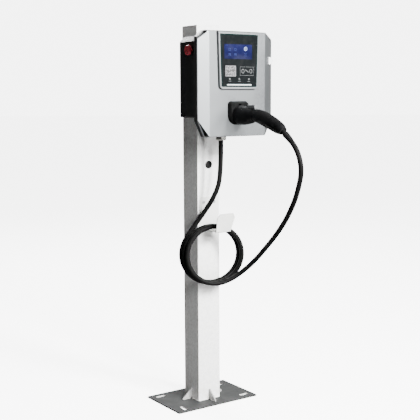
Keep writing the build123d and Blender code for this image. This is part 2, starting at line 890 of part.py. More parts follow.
# ---------------------------------------------------------------- charging cable

facing = radians(coil_turn)


def on_coil(angle, radius=coil_radius):
    """Centre of the cable on the coil at an angle in degrees, 0 on the right, turning up."""
    drift = coil_pitch * (angle - coil_start_angle) / 360
    across = radius * cos(radians(angle))
    return (
        coil_centre[0] + across * cos(facing),
        coil_centre[1] - across * sin(facing) - drift,
        coil_centre[2] + radius * sin(radians(angle)),
    )


def tube_along(points, name):
    """A cable tube along straight runs joined by arcs as large as the runs allow."""
    corners = [Vector(*point) for point in points]
    radii = []
    for before, corner, after in zip(corners, corners[1:], corners[2:]):
        turn = radians((corner - before).get_angle(after - corner))
        shorter = min((corner - before).length, (after - corner).length)
        radii.append(0.45 * shorter / tan(turn / 2))
    with BuildPart() as tube:
        with BuildLine() as route:
            if radii:
                FilletPolyline(*corners, radius=radii)
            else:
                Line(*corners)
        with BuildSketch(Plane(origin=corners[0], z_dir=corners[1] - corners[0])):
            Circle(cable_radius)
        sweep()
    length = sum(edge.length for edge in route.edges())
    section = pi * cable_radius ** 2
    print(name, "length", round(length), "volume ratio", round(tube.part.volume / (section * length), 4),
          "radii", [round(radius) for radius in radii])
    save(tube.part, name)
    return length


drop_points = [
    (0, gland_y, gland_low), (0, gland_y, 886), (-18, -117, 815), (-42, -70, 741),
    on_coil(coil_start_angle),
]
exit_points = [on_coil(coil_end_angle), (66, -160, 516), (86, -190, 546), (89, -214, 566.5)]
lead_points = [
    (89.05, -214.4, 566.84), (92, -238, 587), (88, -284, 624), (76, -354, 676), (57, -440, 746),
    (37, -514, 824), (22, -555, 882), (13, -579, 933), (7, -576, 982), (3, -550, 1027), (0, -509, 1057.6),
]
coil_length = (coil_end_angle - coil_start_angle) / 360 * 2 * pi * coil_radius
cable_length = tube_along(drop_points, "cable_drop") + coil_length
cable_length += tube_along(exit_points, "cable_exit") + tube_along(lead_points, "cable_lead")
print("whole cable", round(cable_length), "of which coiled", round(coil_length))

coil_depth = coil_pitch * (coil_end_angle - coil_start_angle) / 360
front_drift = coil_pitch * (coil_end_angle - last_top_angle) / 360
coil_face = Plane(
    origin=(coil_centre[0], coil_centre[1] + cable_radius / cos(facing), coil_centre[2]),
    x_dir=(cos(facing), -sin(facing), 0),
    z_dir=(-sin(facing), -cos(facing), 0),
)
with BuildPart() as cable_coil:
    with BuildSketch(coil_face):
        Circle(coil_radius + cable_radius)
        Circle(coil_radius - cable_radius, mode=Mode.SUBTRACT)
    extrude(amount=coil_depth - front_drift + 2 * cable_radius / cos(facing), dir=(0, -1, 0))
save(cable_coil.part, "cable_coil")

# ---------------------------------------------------------------- connector

head_sections = [(-256.0, 1119, 34.5, 34.5), (-285, 1117.5, 33, 33), (-320, 1117.5, 27.5, 28),
                 (-352, 1120.5, 20, 21)]
handle_sections = [(-338, 1121, 4, 20, 20), (-382, 1111, 17, 25, 21.5), (-420, 1099, 19, 25, 21.5),
                   (-457, 1085, 22, 23.5, 20.5), (-484, 1074, 30, 20, 18)]
shell_wall = 3.0


def handle_plane(y, z, droop):
    """Sketch plane across the handle, drooping by the angle in degrees, local y upwards."""
    return Plane(origin=(0, y, z), x_dir=(1, 0, 0),
                 z_dir=(0, -cos(radians(droop)), -sin(radians(droop))))


def connector_form(shrink):
    """Outer form of the connector's head and handle, every section smaller by shrink."""
    with BuildPart() as head:
        for y, z, half_high, half_wide in head_sections:
            with BuildSketch(facing_front(y)):
                with Locations((0, z)):
                    Ellipse(half_wide - shrink, half_high - shrink)
        loft()
    with BuildPart() as handle:
        for y, z, droop, half_high, half_wide in handle_sections:
            with BuildSketch(handle_plane(y, z, droop)):
                Ellipse(half_wide - shrink, half_high - shrink)
        loft()
    return head.part, handle.part


button_front = -303.5
button_rear = -347.5
slot_rear_space = 2.5
pin_y = -293.0
pin_z = 1137.0
pin_radius = 2.0
spring_y = -330.0
spring_seat = 1118.0
tail_y, tail_z, tail_droop, tail_half_high, tail_half_wide = handle_sections[-1]

with BuildPart() as connector_shell:
    for form in connector_form(0):
        add(form)
    with BuildSketch(handle_plane(tail_y, tail_z, tail_droop)):
        Ellipse(tail_half_wide, tail_half_high)
    with BuildSketch(handle_plane(-497, 1066.5, 37)):
        Ellipse(14, 14.5)
    loft()
    for form in connector_form(shell_wall):
        add(form, mode=Mode.SUBTRACT)
    with BuildSketch(facing_front(-250)):
        with Locations((0, holster_z)):
            Circle(30.1)
    extrude(amount=12, mode=Mode.SUBTRACT)
    with BuildSketch(handle_plane(-480, 1079.5, 37)):
        Circle(9.6)
    extrude(amount=30, mode=Mode.SUBTRACT)
    with BuildSketch(side_view(-24)):
        with Locations((pin_y, pin_z)):
            Circle(pin_radius + 0.05)
    extrude(amount=48, mode=Mode.SUBTRACT)
    with BuildSketch(Plane.XY.offset(1122)):
        with Locations((0, (button_front + 1 + button_rear - slot_rear_space) / 2)):
            RectangleRounded(17, button_front - button_rear + 1 + slot_rear_space, 2)
    extrude(amount=50, mode=Mode.SUBTRACT)
    with Locations((0, spring_y, spring_seat)):
        Box(48, 14, 4, align=(Align.CENTER, Align.CENTER, Align.MAX))

for side, kept in (("left", Keep.BOTTOM), ("right", Keep.TOP)):
    with BuildPart() as shell_half:
        add(connector_shell.part)
        split(bisect_by=Plane.YZ, keep=kept)
    save(shell_half.part, f"connector_shell_{side}")

nose_tip = -206.0
nose_length = 48.0
nose_radius = 26.8
collar_radius = 29.9
contact_spots = [(0, 0, 3.6), (-9.5, 5.5, 3.6), (9.5, 5.5, 3.6), (-8, -9, 3.6), (8, -9, 3.6),
                 (-4.5, 12.5, 2.2), (4.5, 12.5, 2.2)]

with BuildPart() as connector_nose:
    with BuildSketch(facing_front(nose_tip)):
        with Locations((0, holster_z)):
            Circle(nose_radius)
            Circle(nose_radius - 2.5, mode=Mode.SUBTRACT)
    extrude(amount=nose_length)
    chamfer(connector_nose.faces().sort_by(Axis.Y)[-1].edges(), 0.8)
    with BuildSketch(facing_front(nose_tip - 4)):
        with Locations((0, holster_z)):
            Circle(19)
            for x, z, radius in contact_spots:
                with Locations((x, z)):
                    Circle(radius, mode=Mode.SUBTRACT)
    extrude(amount=nose_length - 4)
    with BuildSketch(facing_front(nose_tip - nose_length)):
        with Locations((0, holster_z)):
            Circle(collar_radius)
            for x, z, radius in contact_spots:
                with Locations((x, z)):
                    Circle(radius, mode=Mode.SUBTRACT)
    extrude(amount=8)
    with BuildSketch(facing_front(nose_tip + 1)):
        with Locations((0, holster_z + 25)):
            Rectangle(10.6, 12)
    extrude(amount=70, mode=Mode.SUBTRACT)
save(connector_nose.part, "connector_nose")

with BuildPart() as connector_contacts:
    for x, z, radius in contact_spots:
        with BuildSketch(facing_front(nose_tip - 8)):
            with Locations((x, holster_z + z)):
                Circle(radius - 0.05)
                Circle(radius * 0.55, mode=Mode.SUBTRACT)
        extrude(amount=54)
save(connector_contacts.part, "connector_contacts")

with BuildPart() as latch_lever:
    with BuildSketch(side_view(-4)):
        with BuildLine():
            Polyline(
                (-212, 1140), (-212, 1146), (-216, 1149.5), (-221, 1149.5), (-221, 1144.5),
                (-262, 1144.5), (-286, 1142.5), (-306, 1142.5), (-306, 1150), (-345, 1146),
                (-345, 1139), (-300, 1132), (-286, 1132), (-262, 1139.4), (-240, 1140),
                close=True,
            )
        make_face()
    extrude(amount=8)
    with BuildSketch(Plane.XY.offset(1143.5)):
        with Locations((0, (button_front + button_rear) / 2)):
            RectangleRounded(15, button_front - button_rear, 2.5)
    extrude(amount=11.3)
    fillet(latch_lever.faces().sort_by(Axis.Z)[-1].edges(), 1.6)
    with BuildSketch(side_view(-10)):
        with Locations((pin_y, pin_z)):
            Circle(pin_radius + 0.05)
    extrude(amount=20, mode=Mode.SUBTRACT)
save(latch_lever.part, "latch_lever")

with BuildPart() as latch_pin:
    with BuildSketch(side_view(-23)):
        with Locations((pin_y, pin_z)):
            Circle(pin_radius)
    extrude(amount=46)
save(latch_pin.part, "latch_pin")

with BuildPart() as latch_spring:
    for ring in range(5):
        with BuildSketch(Plane.XY.offset(spring_seat + 3.6 * ring)):
            with Locations((0, spring_y)):
                Circle(4)
                Circle(2.6, mode=Mode.SUBTRACT)
        extrude(amount=1.8)
    for post_x in (-3.3, 3.3):
        with BuildSketch(Plane.XY.offset(spring_seat)):
            with Locations((post_x, spring_y)):
                Circle(0.65)
        extrude(amount=15)
save(latch_spring.part, "latch_spring")

with BuildPart() as cable_boot:
    with BuildSketch(handle_plane(-487, 1074.3, 37)):
        Circle(9)
    extrude(amount=16)
    with BuildSketch(handle_plane(-497.8, 1066.1, 37)):
        Circle(11.5)
    with BuildSketch(handle_plane(-508, 1058.4, 37)):
        Circle(9.6)
    loft()
save(cable_boot.part, "cable_boot")
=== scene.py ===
import json
import math
import random

import bmesh
import bpy
from mathutils import Matrix, Vector

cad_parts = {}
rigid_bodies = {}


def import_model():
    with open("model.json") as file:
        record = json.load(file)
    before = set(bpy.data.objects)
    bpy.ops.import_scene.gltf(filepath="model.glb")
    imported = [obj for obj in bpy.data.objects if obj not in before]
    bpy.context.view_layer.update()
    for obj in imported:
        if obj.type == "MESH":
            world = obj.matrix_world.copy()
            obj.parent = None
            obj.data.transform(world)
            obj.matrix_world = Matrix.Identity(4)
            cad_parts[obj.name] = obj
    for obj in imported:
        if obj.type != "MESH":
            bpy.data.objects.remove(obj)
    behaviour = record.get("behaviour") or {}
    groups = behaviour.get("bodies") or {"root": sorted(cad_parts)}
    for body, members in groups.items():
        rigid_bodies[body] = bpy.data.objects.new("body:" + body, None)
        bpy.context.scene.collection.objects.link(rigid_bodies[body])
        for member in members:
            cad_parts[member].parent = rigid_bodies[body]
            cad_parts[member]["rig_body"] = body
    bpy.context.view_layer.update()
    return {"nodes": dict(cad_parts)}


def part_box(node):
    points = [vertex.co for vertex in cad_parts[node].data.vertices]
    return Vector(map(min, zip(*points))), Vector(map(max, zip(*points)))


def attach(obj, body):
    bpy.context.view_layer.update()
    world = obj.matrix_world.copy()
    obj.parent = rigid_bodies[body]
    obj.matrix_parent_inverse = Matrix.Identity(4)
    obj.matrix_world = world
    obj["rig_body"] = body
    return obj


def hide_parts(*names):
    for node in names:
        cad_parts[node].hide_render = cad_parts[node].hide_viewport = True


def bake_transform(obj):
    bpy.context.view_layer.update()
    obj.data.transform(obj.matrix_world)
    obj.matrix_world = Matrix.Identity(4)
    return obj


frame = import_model()
cadNodes = frame["nodes"]
print("frame loaded:", len(cadNodes), "nodes")


# view

viewSetup = {
    "place": (-1.94336, -2.87323, 1.18141),
    "azimuth": 34.629,       # degrees, looking from the front left
    "elevation": -7.111,
    "roll": -0.25,
    "lens": 77.26,
    "farClip": 60,
}


def makeCamera(setup):
    turn, tilt = math.radians(setup["azimuth"]), math.radians(setup["elevation"])
    look = Vector((math.sin(turn) * math.cos(tilt), math.cos(turn) * math.cos(tilt), math.sin(tilt)))
    facing = look.to_track_quat("-Z", "Y").to_matrix() @ Matrix.Rotation(math.radians(setup["roll"]), 3, "Z")
    camera = bpy.data.objects.new("postCamera", bpy.data.cameras.new("postCamera"))
    bpy.context.scene.collection.objects.link(camera)
    camera.location = setup["place"]
    camera.rotation_euler = facing.to_euler()
    camera.data.lens = setup["lens"]
    camera.data.clip_end = setup["farClip"]
    bpy.context.scene.camera = camera


makeCamera(viewSetup)
print("camera ready")


# mesh helpers

def addPiece(name, verts, faces, smooth=True, sharpOver=40):
    mesh = bpy.data.meshes.new(name)
    mesh.from_pydata(verts, [], faces)
    shaper = bmesh.new()
    shaper.from_mesh(mesh)
    bmesh.ops.recalc_face_normals(shaper, faces=shaper.faces)
    shaper.to_mesh(mesh)
    shaper.free()
    piece = bpy.data.objects.new(name, mesh)
    bpy.context.scene.collection.objects.link(piece)
    if smooth:
        mesh.shade_smooth()
        mesh.set_sharp_from_angle(angle=math.radians(sharpOver))
    return piece


def dress(piece, material):
    piece.data.materials.clear()
    piece.data.materials.append(material)
    return piece


def alongPath(path):
    # one turning frame for each point, carried along without twist
    frames = []
    side = None
    for here, point in enumerate(path):
        ahead = path[min(here + 1, len(path) - 1)] - path[max(here - 1, 0)]
        ahead.normalize()
        if side is None:
            side = ahead.orthogonal().normalized()
        side = (side - ahead * side.dot(ahead)).normalized()
        frames.append((point, side.copy(), ahead.cross(side)))
    return frames


def tubeMesh(name, path, radii, sides=20):
    verts, faces = [], []
    for (point, side, other), radius in zip(alongPath(path), radii):
        for step in range(sides):
            angle = 2 * math.pi * step / sides
            verts.append(point + (side * math.cos(angle) + other * math.sin(angle)) * radius)
    for ring in range(len(path) - 1):
        for step in range(sides):
            nextStep = (step + 1) % sides
            low, high = ring * sides, (ring + 1) * sides
            faces.append((low + step, low + nextStep, high + nextStep, high + step))
    faces.append(tuple(reversed(range(sides))))
    faces.append(tuple(range((len(path) - 1) * sides, len(path) * sides)))
    return addPiece(name, verts, faces, sharpOver=60)


def evenPath(points, spacing):
    # the same line, with its points a fixed distance apart
    lengths = [0.0]
    for before, after in zip(points, points[1:]):
        lengths.append(lengths[-1] + (after - before).length)
    count = max(2, round(lengths[-1] / spacing))
    path, span = [], 0
    for step in range(count + 1):
        want = lengths[-1] * step / count
        while span < len(points) - 2 and lengths[span + 1] < want:
            span += 1
        part = (want - lengths[span]) / max(lengths[span + 1] - lengths[span], 1e-9)
        path.append(points[span].lerp(points[span + 1], min(max(part, 0), 1)))
    return path, lengths[-1]


# charging cable: gland, hung turns on the hook, connector

cableRoute = {
    "radius": 0.009,
    "spacing": 0.0045,       # between the rings of the sheath
    "sides": 22,
    "curveSteps": 16,
    "drop": [(0, -0.133, 1.024), (0, -0.133, 0.886), (-0.018, -0.117, 0.815), (-0.042, -0.070, 0.741)],
    "coilCentre": (-0.017, -0.075, 0.5896),
    "coilRadius": 0.1115,
    "coilTurn": 20,
    "coilPitch": 0.021,
    "coilFrom": 145,
    "coilTo": 1020,
    "coilSteps": 35,
    "slack": (0.0, 0.0012, -0.0015),   # how much each hung turn differs in size
    "exit": [(0.066, -0.160, 0.516), (0.086, -0.190, 0.546), (0.089, -0.214, 0.5665)],
    "lead": [
        (0.092, -0.238, 0.587), (0.088, -0.284, 0.624), (0.076, -0.354, 0.676), (0.057, -0.440, 0.746),
        (0.037, -0.514, 0.824), (0.022, -0.555, 0.882), (0.013, -0.579, 0.933), (0.007, -0.576, 0.982),
        (0.003, -0.550, 1.027), (0.000, -0.509, 1.0576),
    ],
}


def hungTurns(route):
    turn = math.radians(route["coilTurn"])
    centre = Vector(route["coilCentre"])
    points = []
    for step in range(route["coilSteps"] + 1):
        angle = route["coilFrom"] + (route["coilTo"] - route["coilFrom"]) * step / route["coilSteps"]
        drift = route["coilPitch"] * (angle - route["coilFrom"]) / 360
        slack = route["slack"][min(int((angle - route["coilFrom"]) / 360), len(route["slack"]) - 1)]
        size = route["coilRadius"] + slack * math.sin(math.radians(angle - route["coilFrom"]) / 2) ** 2
        across = size * math.cos(math.radians(angle))
        points.append(centre + Vector((
            across * math.cos(turn), -across * math.sin(turn) - drift, size * math.sin(math.radians(angle)))))
    return points


def cableLine(points, curveSteps):
    data = bpy.data.curves.new("cableLine", "CURVE")
    data.dimensions = "3D"
    line = data.splines.new("NURBS")
    line.points.add(len(points) - 1)
    for place, point in zip(line.points, points):
        place.co = (*point, 1.0)
    line.order_u = 3
    line.use_endpoint_u = True
    line.resolution_u = curveSteps
    holder = bpy.data.objects.new("cableLine", data)
    bpy.context.scene.collection.objects.link(holder)
    bpy.context.view_layer.update()
    mesh = bpy.data.meshes.new_from_object(holder.evaluated_get(bpy.context.evaluated_depsgraph_get()))
    found = [vert.co.copy() for vert in mesh.vertices]
    bpy.data.objects.remove(holder)
    return found


routePoints = [Vector(p) for p in cableRoute["drop"]] + hungTurns(cableRoute)
routePoints += [Vector(p) for p in cableRoute["exit"] + cableRoute["lead"]]
cablePath, cableLength = evenPath(cableLine(routePoints, cableRoute["curveSteps"]), cableRoute["spacing"])
cableRadii = [cableRoute["radius"]] * len(cablePath)
chargingCable = tubeMesh("chargingCable", cablePath, cableRadii, cableRoute["sides"])
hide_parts("cable_drop", "cable_coil", "cable_exit", "cable_lead")
print("cable length", round(cableLength, 3))


# shader helpers

def mathNode(tree, operation, first, second=None, clamp=False):
    node = tree.nodes.new("ShaderNodeMath")
    node.operation = operation
    node.use_clamp = clamp
    for socket, value in zip(node.inputs, (first, second)):
        if value is None:
            continue
        if isinstance(value, (int, float)):
            socket.default_value = value
        else:
            tree.links.new(value, socket)
    return node.outputs[0]


def times(tree, first, second, clamp=False):
    return mathNode(tree, "MULTIPLY", first, second, clamp)


def plus(tree, first, second, clamp=False):
    return mathNode(tree, "ADD", first, second, clamp)


def spread(tree, value, low, high, outLow=0.0, outHigh=1.0):
    # maps a value's span to another, held at both ends
    node = tree.nodes.new("ShaderNodeMapRange")
    node.interpolation_type = "SMOOTHSTEP"
    for name, amount in (("From Min", low), ("From Max", high), ("To Min", outLow), ("To Max", outHigh)):
        if isinstance(amount, (int, float)):
            node.inputs[name].default_value = amount
        else:
            tree.links.new(amount, node.inputs[name])
    tree.links.new(value, node.inputs["Value"])
    return node.outputs["Result"]


def startGroup(name, wants, gives):
    group = bpy.data.node_groups.new(name, "ShaderNodeTree")
    for title, default in wants:
        kind = "NodeSocketColor" if isinstance(default, tuple) else "NodeSocketFloat"
        socket = group.interface.new_socket(title, in_out="INPUT", socket_type=kind)
        socket.default_value = default
    for title in gives:
        group.interface.new_socket(title, in_out="OUTPUT", socket_type="NodeSocketFloat")
    return group, group.nodes.new("NodeGroupInput"), group.nodes.new("NodeGroupOutput")


def noiseOf(tree, scale, detail=4.0, rough=0.55, squeeze=None, seed=(0, 0, 0)):
    # noise in the part's own space, in cycles per metre
    place = tree.nodes.new("ShaderNodeMapping")
    tree.links.new(ownSpace(tree), place.inputs["Vector"])
    place.inputs["Location"].default_value = seed
    if squeeze:
        place.inputs["Scale"].default_value = squeeze
    noise = tree.nodes.new("ShaderNodeTexNoise")
    tree.links.new(place.outputs["Vector"], noise.inputs["Vector"])
    noise.inputs["Detail"].default_value = detail
    noise.inputs["Roughness"].default_value = rough
    if isinstance(scale, (int, float)):
        noise.inputs["Scale"].default_value = scale
    else:
        tree.links.new(scale, noise.inputs["Scale"])
    return noise.outputs["Fac"]


def ownSpace(tree):
    return tree.nodes.new("ShaderNodeTexCoord").outputs["Object"]


def splitUp(tree, vector):
    split = tree.nodes.new("ShaderNodeSeparateXYZ")
    tree.links.new(vector, split.inputs[0])
    return split.outputs


def maskBy(group, mask, wants, gives):
    # a mask's last step: as strong as the group's Amount says
    group.links.new(times(group, mask, wants.outputs["Amount"], True), gives.inputs["Mask"])


peelSetup = {"coarseScale": 0.31, "fineShare": 0.6, "coarseShare": 0.4, "toneLow": 0.3, "toneHigh": 0.7}


def makeSprayGrain(setup):
    # orange-peel skin of a sprayed or powder-coated face
    group, wants, gives = startGroup(
        "sprayGrain", [("Scale", 900.0), ("Patch Scale", 9.0)], ["Height", "Tone"])
    peel = noiseOf(group, wants.outputs["Scale"], 2.0, 0.5)
    coarseScale = times(group, wants.outputs["Scale"], setup["coarseScale"])
    coarse = noiseOf(group, coarseScale, 2.0, 0.5, None, (3, 1, 2))
    height = plus(group, times(group, peel, setup["fineShare"]), times(group, coarse, setup["coarseShare"]))
    patch = noiseOf(group, wants.outputs["Patch Scale"], 5.0, 0.6, None, (5, 7, 1))
    group.links.new(height, gives.inputs["Height"])
    group.links.new(spread(group, patch, setup["toneLow"], setup["toneHigh"]), gives.inputs["Tone"])
    return group


rubSetup = {"edge": (0.53, 0.64), "broken": (0.42, 0.62)}     # each pair is where it starts and is full


def makeEdgeRub(setup):
    # paint rubbed thin along outer edges, broken up by noise
    group, wants, gives = startGroup(
        "edgeRub", [("Amount", 0.5), ("Scale", 120.0)], ["Mask"])
    geometry = group.nodes.new("ShaderNodeNewGeometry")
    edge = spread(group, geometry.outputs["Pointiness"], *setup["edge"])
    broken = spread(group, noiseOf(group, wants.outputs["Scale"], 6.0, 0.65), *setup["broken"])
    maskBy(group, times(group, edge, broken), wants, gives)
    return group


dustSetup = {"upward": (0.25, 0.95), "patches": (0.38, 0.72)}


def makeSettledDust(setup):
    # pale dust on faces that look up, and a little in patches elsewhere
    group, wants, gives = startGroup(
        "settledDust", [("Amount", 0.4), ("Scale", 40.0), ("Everywhere", 0.15)], ["Mask"])
    geometry = group.nodes.new("ShaderNodeNewGeometry")
    upward = spread(group, splitUp(group, geometry.outputs["Normal"])["Z"], *setup["upward"])
    cloud = noiseOf(group, wants.outputs["Scale"], 7.0, 0.62, None, (2, 9, 4))
    patches = spread(group, cloud, *setup["patches"])
    total = plus(group, upward, wants.outputs["Everywhere"])
    maskBy(group, times(group, total, patches), wants, gives)
    return group


splashSetup = {"fade": 1.6, "drops": (0.40, 0.66)}


def makeGroundSplash(setup):
    # dirt thrown up from the ground, fading with height
    group, wants, gives = startGroup(
        "groundSplash", [("Amount", 0.5), ("Reach", 0.25), ("Scale", 60.0)], ["Mask"])
    height = splitUp(group, ownSpace(group))["Z"]
    low = spread(group, height, 0.0, wants.outputs["Reach"], 1.0, 0.0)
    drops = spread(group, noiseOf(group, wants.outputs["Scale"], 8.0, 0.7, None, (1, 4, 8)), *setup["drops"])
    maskBy(group, times(group, mathNode(group, "POWER", low, setup["fade"]), drops), wants, gives)
    return group


trackSetup = {"stretch": (1.0, 1.0, 0.045), "tracks": (0.5, 0.74), "fadeScale": 3.5, "fade": (0.35, 0.65)}


def makeRainTracks(setup):
    # faint upright tracks that rain leaves on a wall
    group, wants, gives = startGroup(
        "rainTracks", [("Amount", 0.3), ("Scale", 55.0)], ["Mask"])
    tracks = noiseOf(group, wants.outputs["Scale"], 4.0, 0.55, setup["stretch"], (7, 3, 0))
    fade = noiseOf(group, setup["fadeScale"], 2.0, 0.5, None, (0, 2, 6))
    mask = times(group, spread(group, tracks, *setup["tracks"]), spread(group, fade, *setup["fade"]))
    maskBy(group, mask, wants, gives)
    return group


mouldSetup = {"cellShare": 0.7, "softScale": 0.5, "softShare": 0.5, "flow": (0.32, 0.70),
              "squeeze": (1, 1, 0.35)}


def makeMouldGrain(setup):
    # fine leather-like etch that a mould leaves on plastic, with faint flow marks
    group, wants, gives = startGroup(
        "mouldGrain", [("Scale", 1300.0), ("Flow Scale", 14.0)], ["Height", "Flow"])
    cells = group.nodes.new("ShaderNodeTexVoronoi")
    cells.feature = "SMOOTH_F1"
    group.links.new(ownSpace(group), cells.inputs["Vector"])
    group.links.new(wants.outputs["Scale"], cells.inputs["Scale"])
    soft = noiseOf(group, times(group, wants.outputs["Scale"], setup["softScale"]), 3.0)
    height = plus(group, times(group, cells.outputs["Distance"], setup["cellShare"]),
                  times(group, soft, setup["softShare"]))
    group.links.new(height, gives.inputs["Height"])
    flow = noiseOf(group, wants.outputs["Flow Scale"], 5.0, 0.6, setup["squeeze"], (4, 4, 1))
    group.links.new(spread(group, flow, *setup["flow"]), gives.inputs["Flow"])
    return group


lineSetup = {"detail": 6.0, "patchScale": 35.0, "patch": (0.3, 0.7)}


def makeToolLines(setup):
    # fine lines of a turned, rolled or brushed metal face
    group, wants, gives = startGroup(
        "toolLines", [("Scale", 260.0), ("Across", 0.06)], ["Height", "Tone"])
    axes = splitUp(group, ownSpace(group))
    squeezed = group.nodes.new("ShaderNodeCombineXYZ")
    for name in ("X", "Y"):
        group.links.new(times(group, axes[name], wants.outputs["Across"]), squeezed.inputs[name])
    group.links.new(axes["Z"], squeezed.inputs["Z"])
    lines = group.nodes.new("ShaderNodeTexNoise")
    group.links.new(squeezed.outputs[0], lines.inputs["Vector"])
    group.links.new(wants.outputs["Scale"], lines.inputs["Scale"])
    lines.inputs["Detail"].default_value = setup["detail"]
    group.links.new(lines.outputs["Fac"], gives.inputs["Height"])
    patch = noiseOf(group, setup["patchScale"], 4.0, 0.6)
    group.links.new(spread(group, patch, *setup["patch"]), gives.inputs["Tone"])
    return group


finishGroups = {
    "sprayGrain": makeSprayGrain(peelSetup),
    "edgeRub": makeEdgeRub(rubSetup),
    "settledDust": makeSettledDust(dustSetup),
    "groundSplash": makeGroundSplash(splashSetup),
    "rainTracks": makeRainTracks(trackSetup),
    "mouldGrain": makeMouldGrain(mouldSetup),
    "toolLines": makeToolLines(lineSetup),
}
print("finish groups:", ", ".join(finishGroups))


def useGroup(tree, name, **values):
    node = tree.nodes.new("ShaderNodeGroup")
    node.node_tree = finishGroups[name]
    for title, value in values.items():
        node.inputs[title.replace("_", " ")].default_value = value
    return node


def startMaterial(name, **fixed):
    material = bpy.data.materials.new(name)
    material.use_nodes = True
    tree = material.node_tree
    shader = tree.nodes["Principled BSDF"]
    for title, value in fixed.items():
        shader.inputs[title.replace("_", " ")].default_value = value
    return material, tree, shader


def mixColour(tree, share, first, second):
    node = tree.nodes.new("ShaderNodeMix")
    node.data_type = "RGBA"
    for socket, value in ((node.inputs[0], share), (node.inputs[6], first), (node.inputs[7], second)):
        if isinstance(value, bpy.types.NodeSocket):
            tree.links.new(value, socket)
        elif isinstance(value, (int, float)):
            socket.default_value = value
        else:
            socket.default_value = (*value, 1.0)
    return node.outputs[2]


def bumpFrom(tree, shader, height, distance, strength=1.0):
    bump = tree.nodes.new("ShaderNodeBump")
    bump.inputs["Distance"].default_value = distance
    bump.inputs["Strength"].default_value = strength
    tree.links.new(height, bump.inputs["Height"])
    tree.links.new(bump.outputs["Normal"], shader.inputs["Normal"])


def feed(tree, shader, **values):
    for title, value in values.items():
        tree.links.new(value, shader.inputs[title.replace("_", " ")])


def roughFrom(tree, share, look, low=0.0, high=1.0):
    middle, span = look["rough"], look["roughSpan"]
    return spread(tree, share, low, high, middle - span, middle + span)


def dustOn(tree, look):
    return useGroup(tree, "settledDust", Amount=look["dust"], Scale=look["dustScale"],
                    Everywhere=look["everywhere"])


def sprayedMetal(name, look):
    # powder coat or sprayed enamel on steel: peel, patches, rubbed edges, rain tracks, splash and dust
    look = {**paintBase, **look}
    material, tree, shader = startMaterial(name, Metallic=look["metallic"], Coat_Weight=look["coat"],
                                           Coat_Roughness=look["coatRough"],
                                           Specular_IOR_Level=look["gloss"])
    grain = useGroup(tree, "sprayGrain", Scale=look["peelScale"], Patch_Scale=look["patchScale"])
    rub = useGroup(tree, "edgeRub", Amount=look["rub"], Scale=look["rubScale"])
    dust = dustOn(tree, look)
    splash = useGroup(tree, "groundSplash", Amount=look["splash"], Reach=look["reach"],
                      Scale=look["dropScale"])
    tracks = useGroup(tree, "rainTracks", Amount=look["tracks"], Scale=look["trackScale"])
    colour = mixColour(tree, grain.outputs["Tone"], look["colour"], look["patch"])
    for layer, tint in ((tracks, "dirt"), (rub, "under"), (splash, "dirt"), (dust, "dustColour")):
        colour = mixColour(tree, layer.outputs["Mask"], colour, look[tint])
    worn = plus(tree, dust.outputs["Mask"], splash.outputs["Mask"], True)
    film = times(tree, worn, look["dustRough"])
    rough = plus(tree, roughFrom(tree, grain.outputs["Tone"], look), film, True)
    feed(tree, shader, Base_Color=colour, Roughness=rough)
    bumpFrom(tree, shader, grain.outputs["Height"], look["peelDepth"])
    return material


def mouldedPlastic(name, look):
    # moulded plastic or rubber: etched grain, flow marks, scuffed edges, a film of dust
    look = {**plasticBase, **look}
    material, tree, shader = startMaterial(name, Coat_Weight=look["coat"],
                                           Coat_Roughness=look["coatRough"],
                                           Specular_IOR_Level=look["gloss"])
    grain = useGroup(tree, "mouldGrain", Scale=look["grainScale"], Flow_Scale=look["flowScale"])
    rub = useGroup(tree, "edgeRub", Amount=look["rub"], Scale=look["rubScale"])
    dust = dustOn(tree, look)
    colour = mixColour(tree, grain.outputs["Flow"], look["colour"], look["patch"])
    colour = mixColour(tree, rub.outputs["Mask"], colour, look["scuff"])
    colour = mixColour(tree, dust.outputs["Mask"], colour, look["dustColour"])
    film = times(tree, dust.outputs["Mask"], look["dustRough"])
    rough = plus(tree, roughFrom(tree, grain.outputs["Flow"], look), film, True)
    feed(tree, shader, Base_Color=colour, Roughness=rough)
    bumpFrom(tree, shader, grain.outputs["Height"], look["grainDepth"])
    return material


def bareMetal(name, look):
    # plated, galvanised or turned metal
    look = {**metalBase, **look}
    material, tree, shader = startMaterial(name, Metallic=1.0)
    lines = useGroup(tree, "toolLines", Scale=look["lineScale"], Across=look["across"])
    dust = dustOn(tree, look)
    colour = mixColour(tree, lines.outputs["Tone"], look["colour"], look["patch"])
    colour = mixColour(tree, dust.outputs["Mask"], colour, look["dustColour"])
    rough = roughFrom(tree, lines.outputs["Height"], look, *look["lineHeights"])
    feed(tree, shader, Base_Color=colour, Roughness=rough)
    bumpFrom(tree, shader, lines.outputs["Height"], look["lineDepth"])
    return material


# what a look takes where it says nothing else
paintBase = {
    "metallic": 0.0, "coat": 0.0, "coatRough": 0.3, "splash": 0.0, "tracks": 0.0, "reach": 0.1, "gloss": 0.5,
    "rubScale": 150.0, "dropScale": 70.0, "trackScale": 60.0, "dustScale": 45.0, "everywhere": 0.12,
    "dustRough": 0.25}
plasticBase = {
    "dustColour": (0.05, 0.048, 0.044), "roughSpan": 0.06, "coat": 0.0, "coatRough": 0.2, "gloss": 0.5,
    "rubScale": 220.0, "dustScale": 70.0, "everywhere": 0.2, "dustRough": 0.2}
metalBase = {
    "roughSpan": 0.10, "across": 1.0, "dust": 0.2, "dustScale": 90.0, "everywhere": 0.2,
    "lineHeights": (0.25, 0.75)}

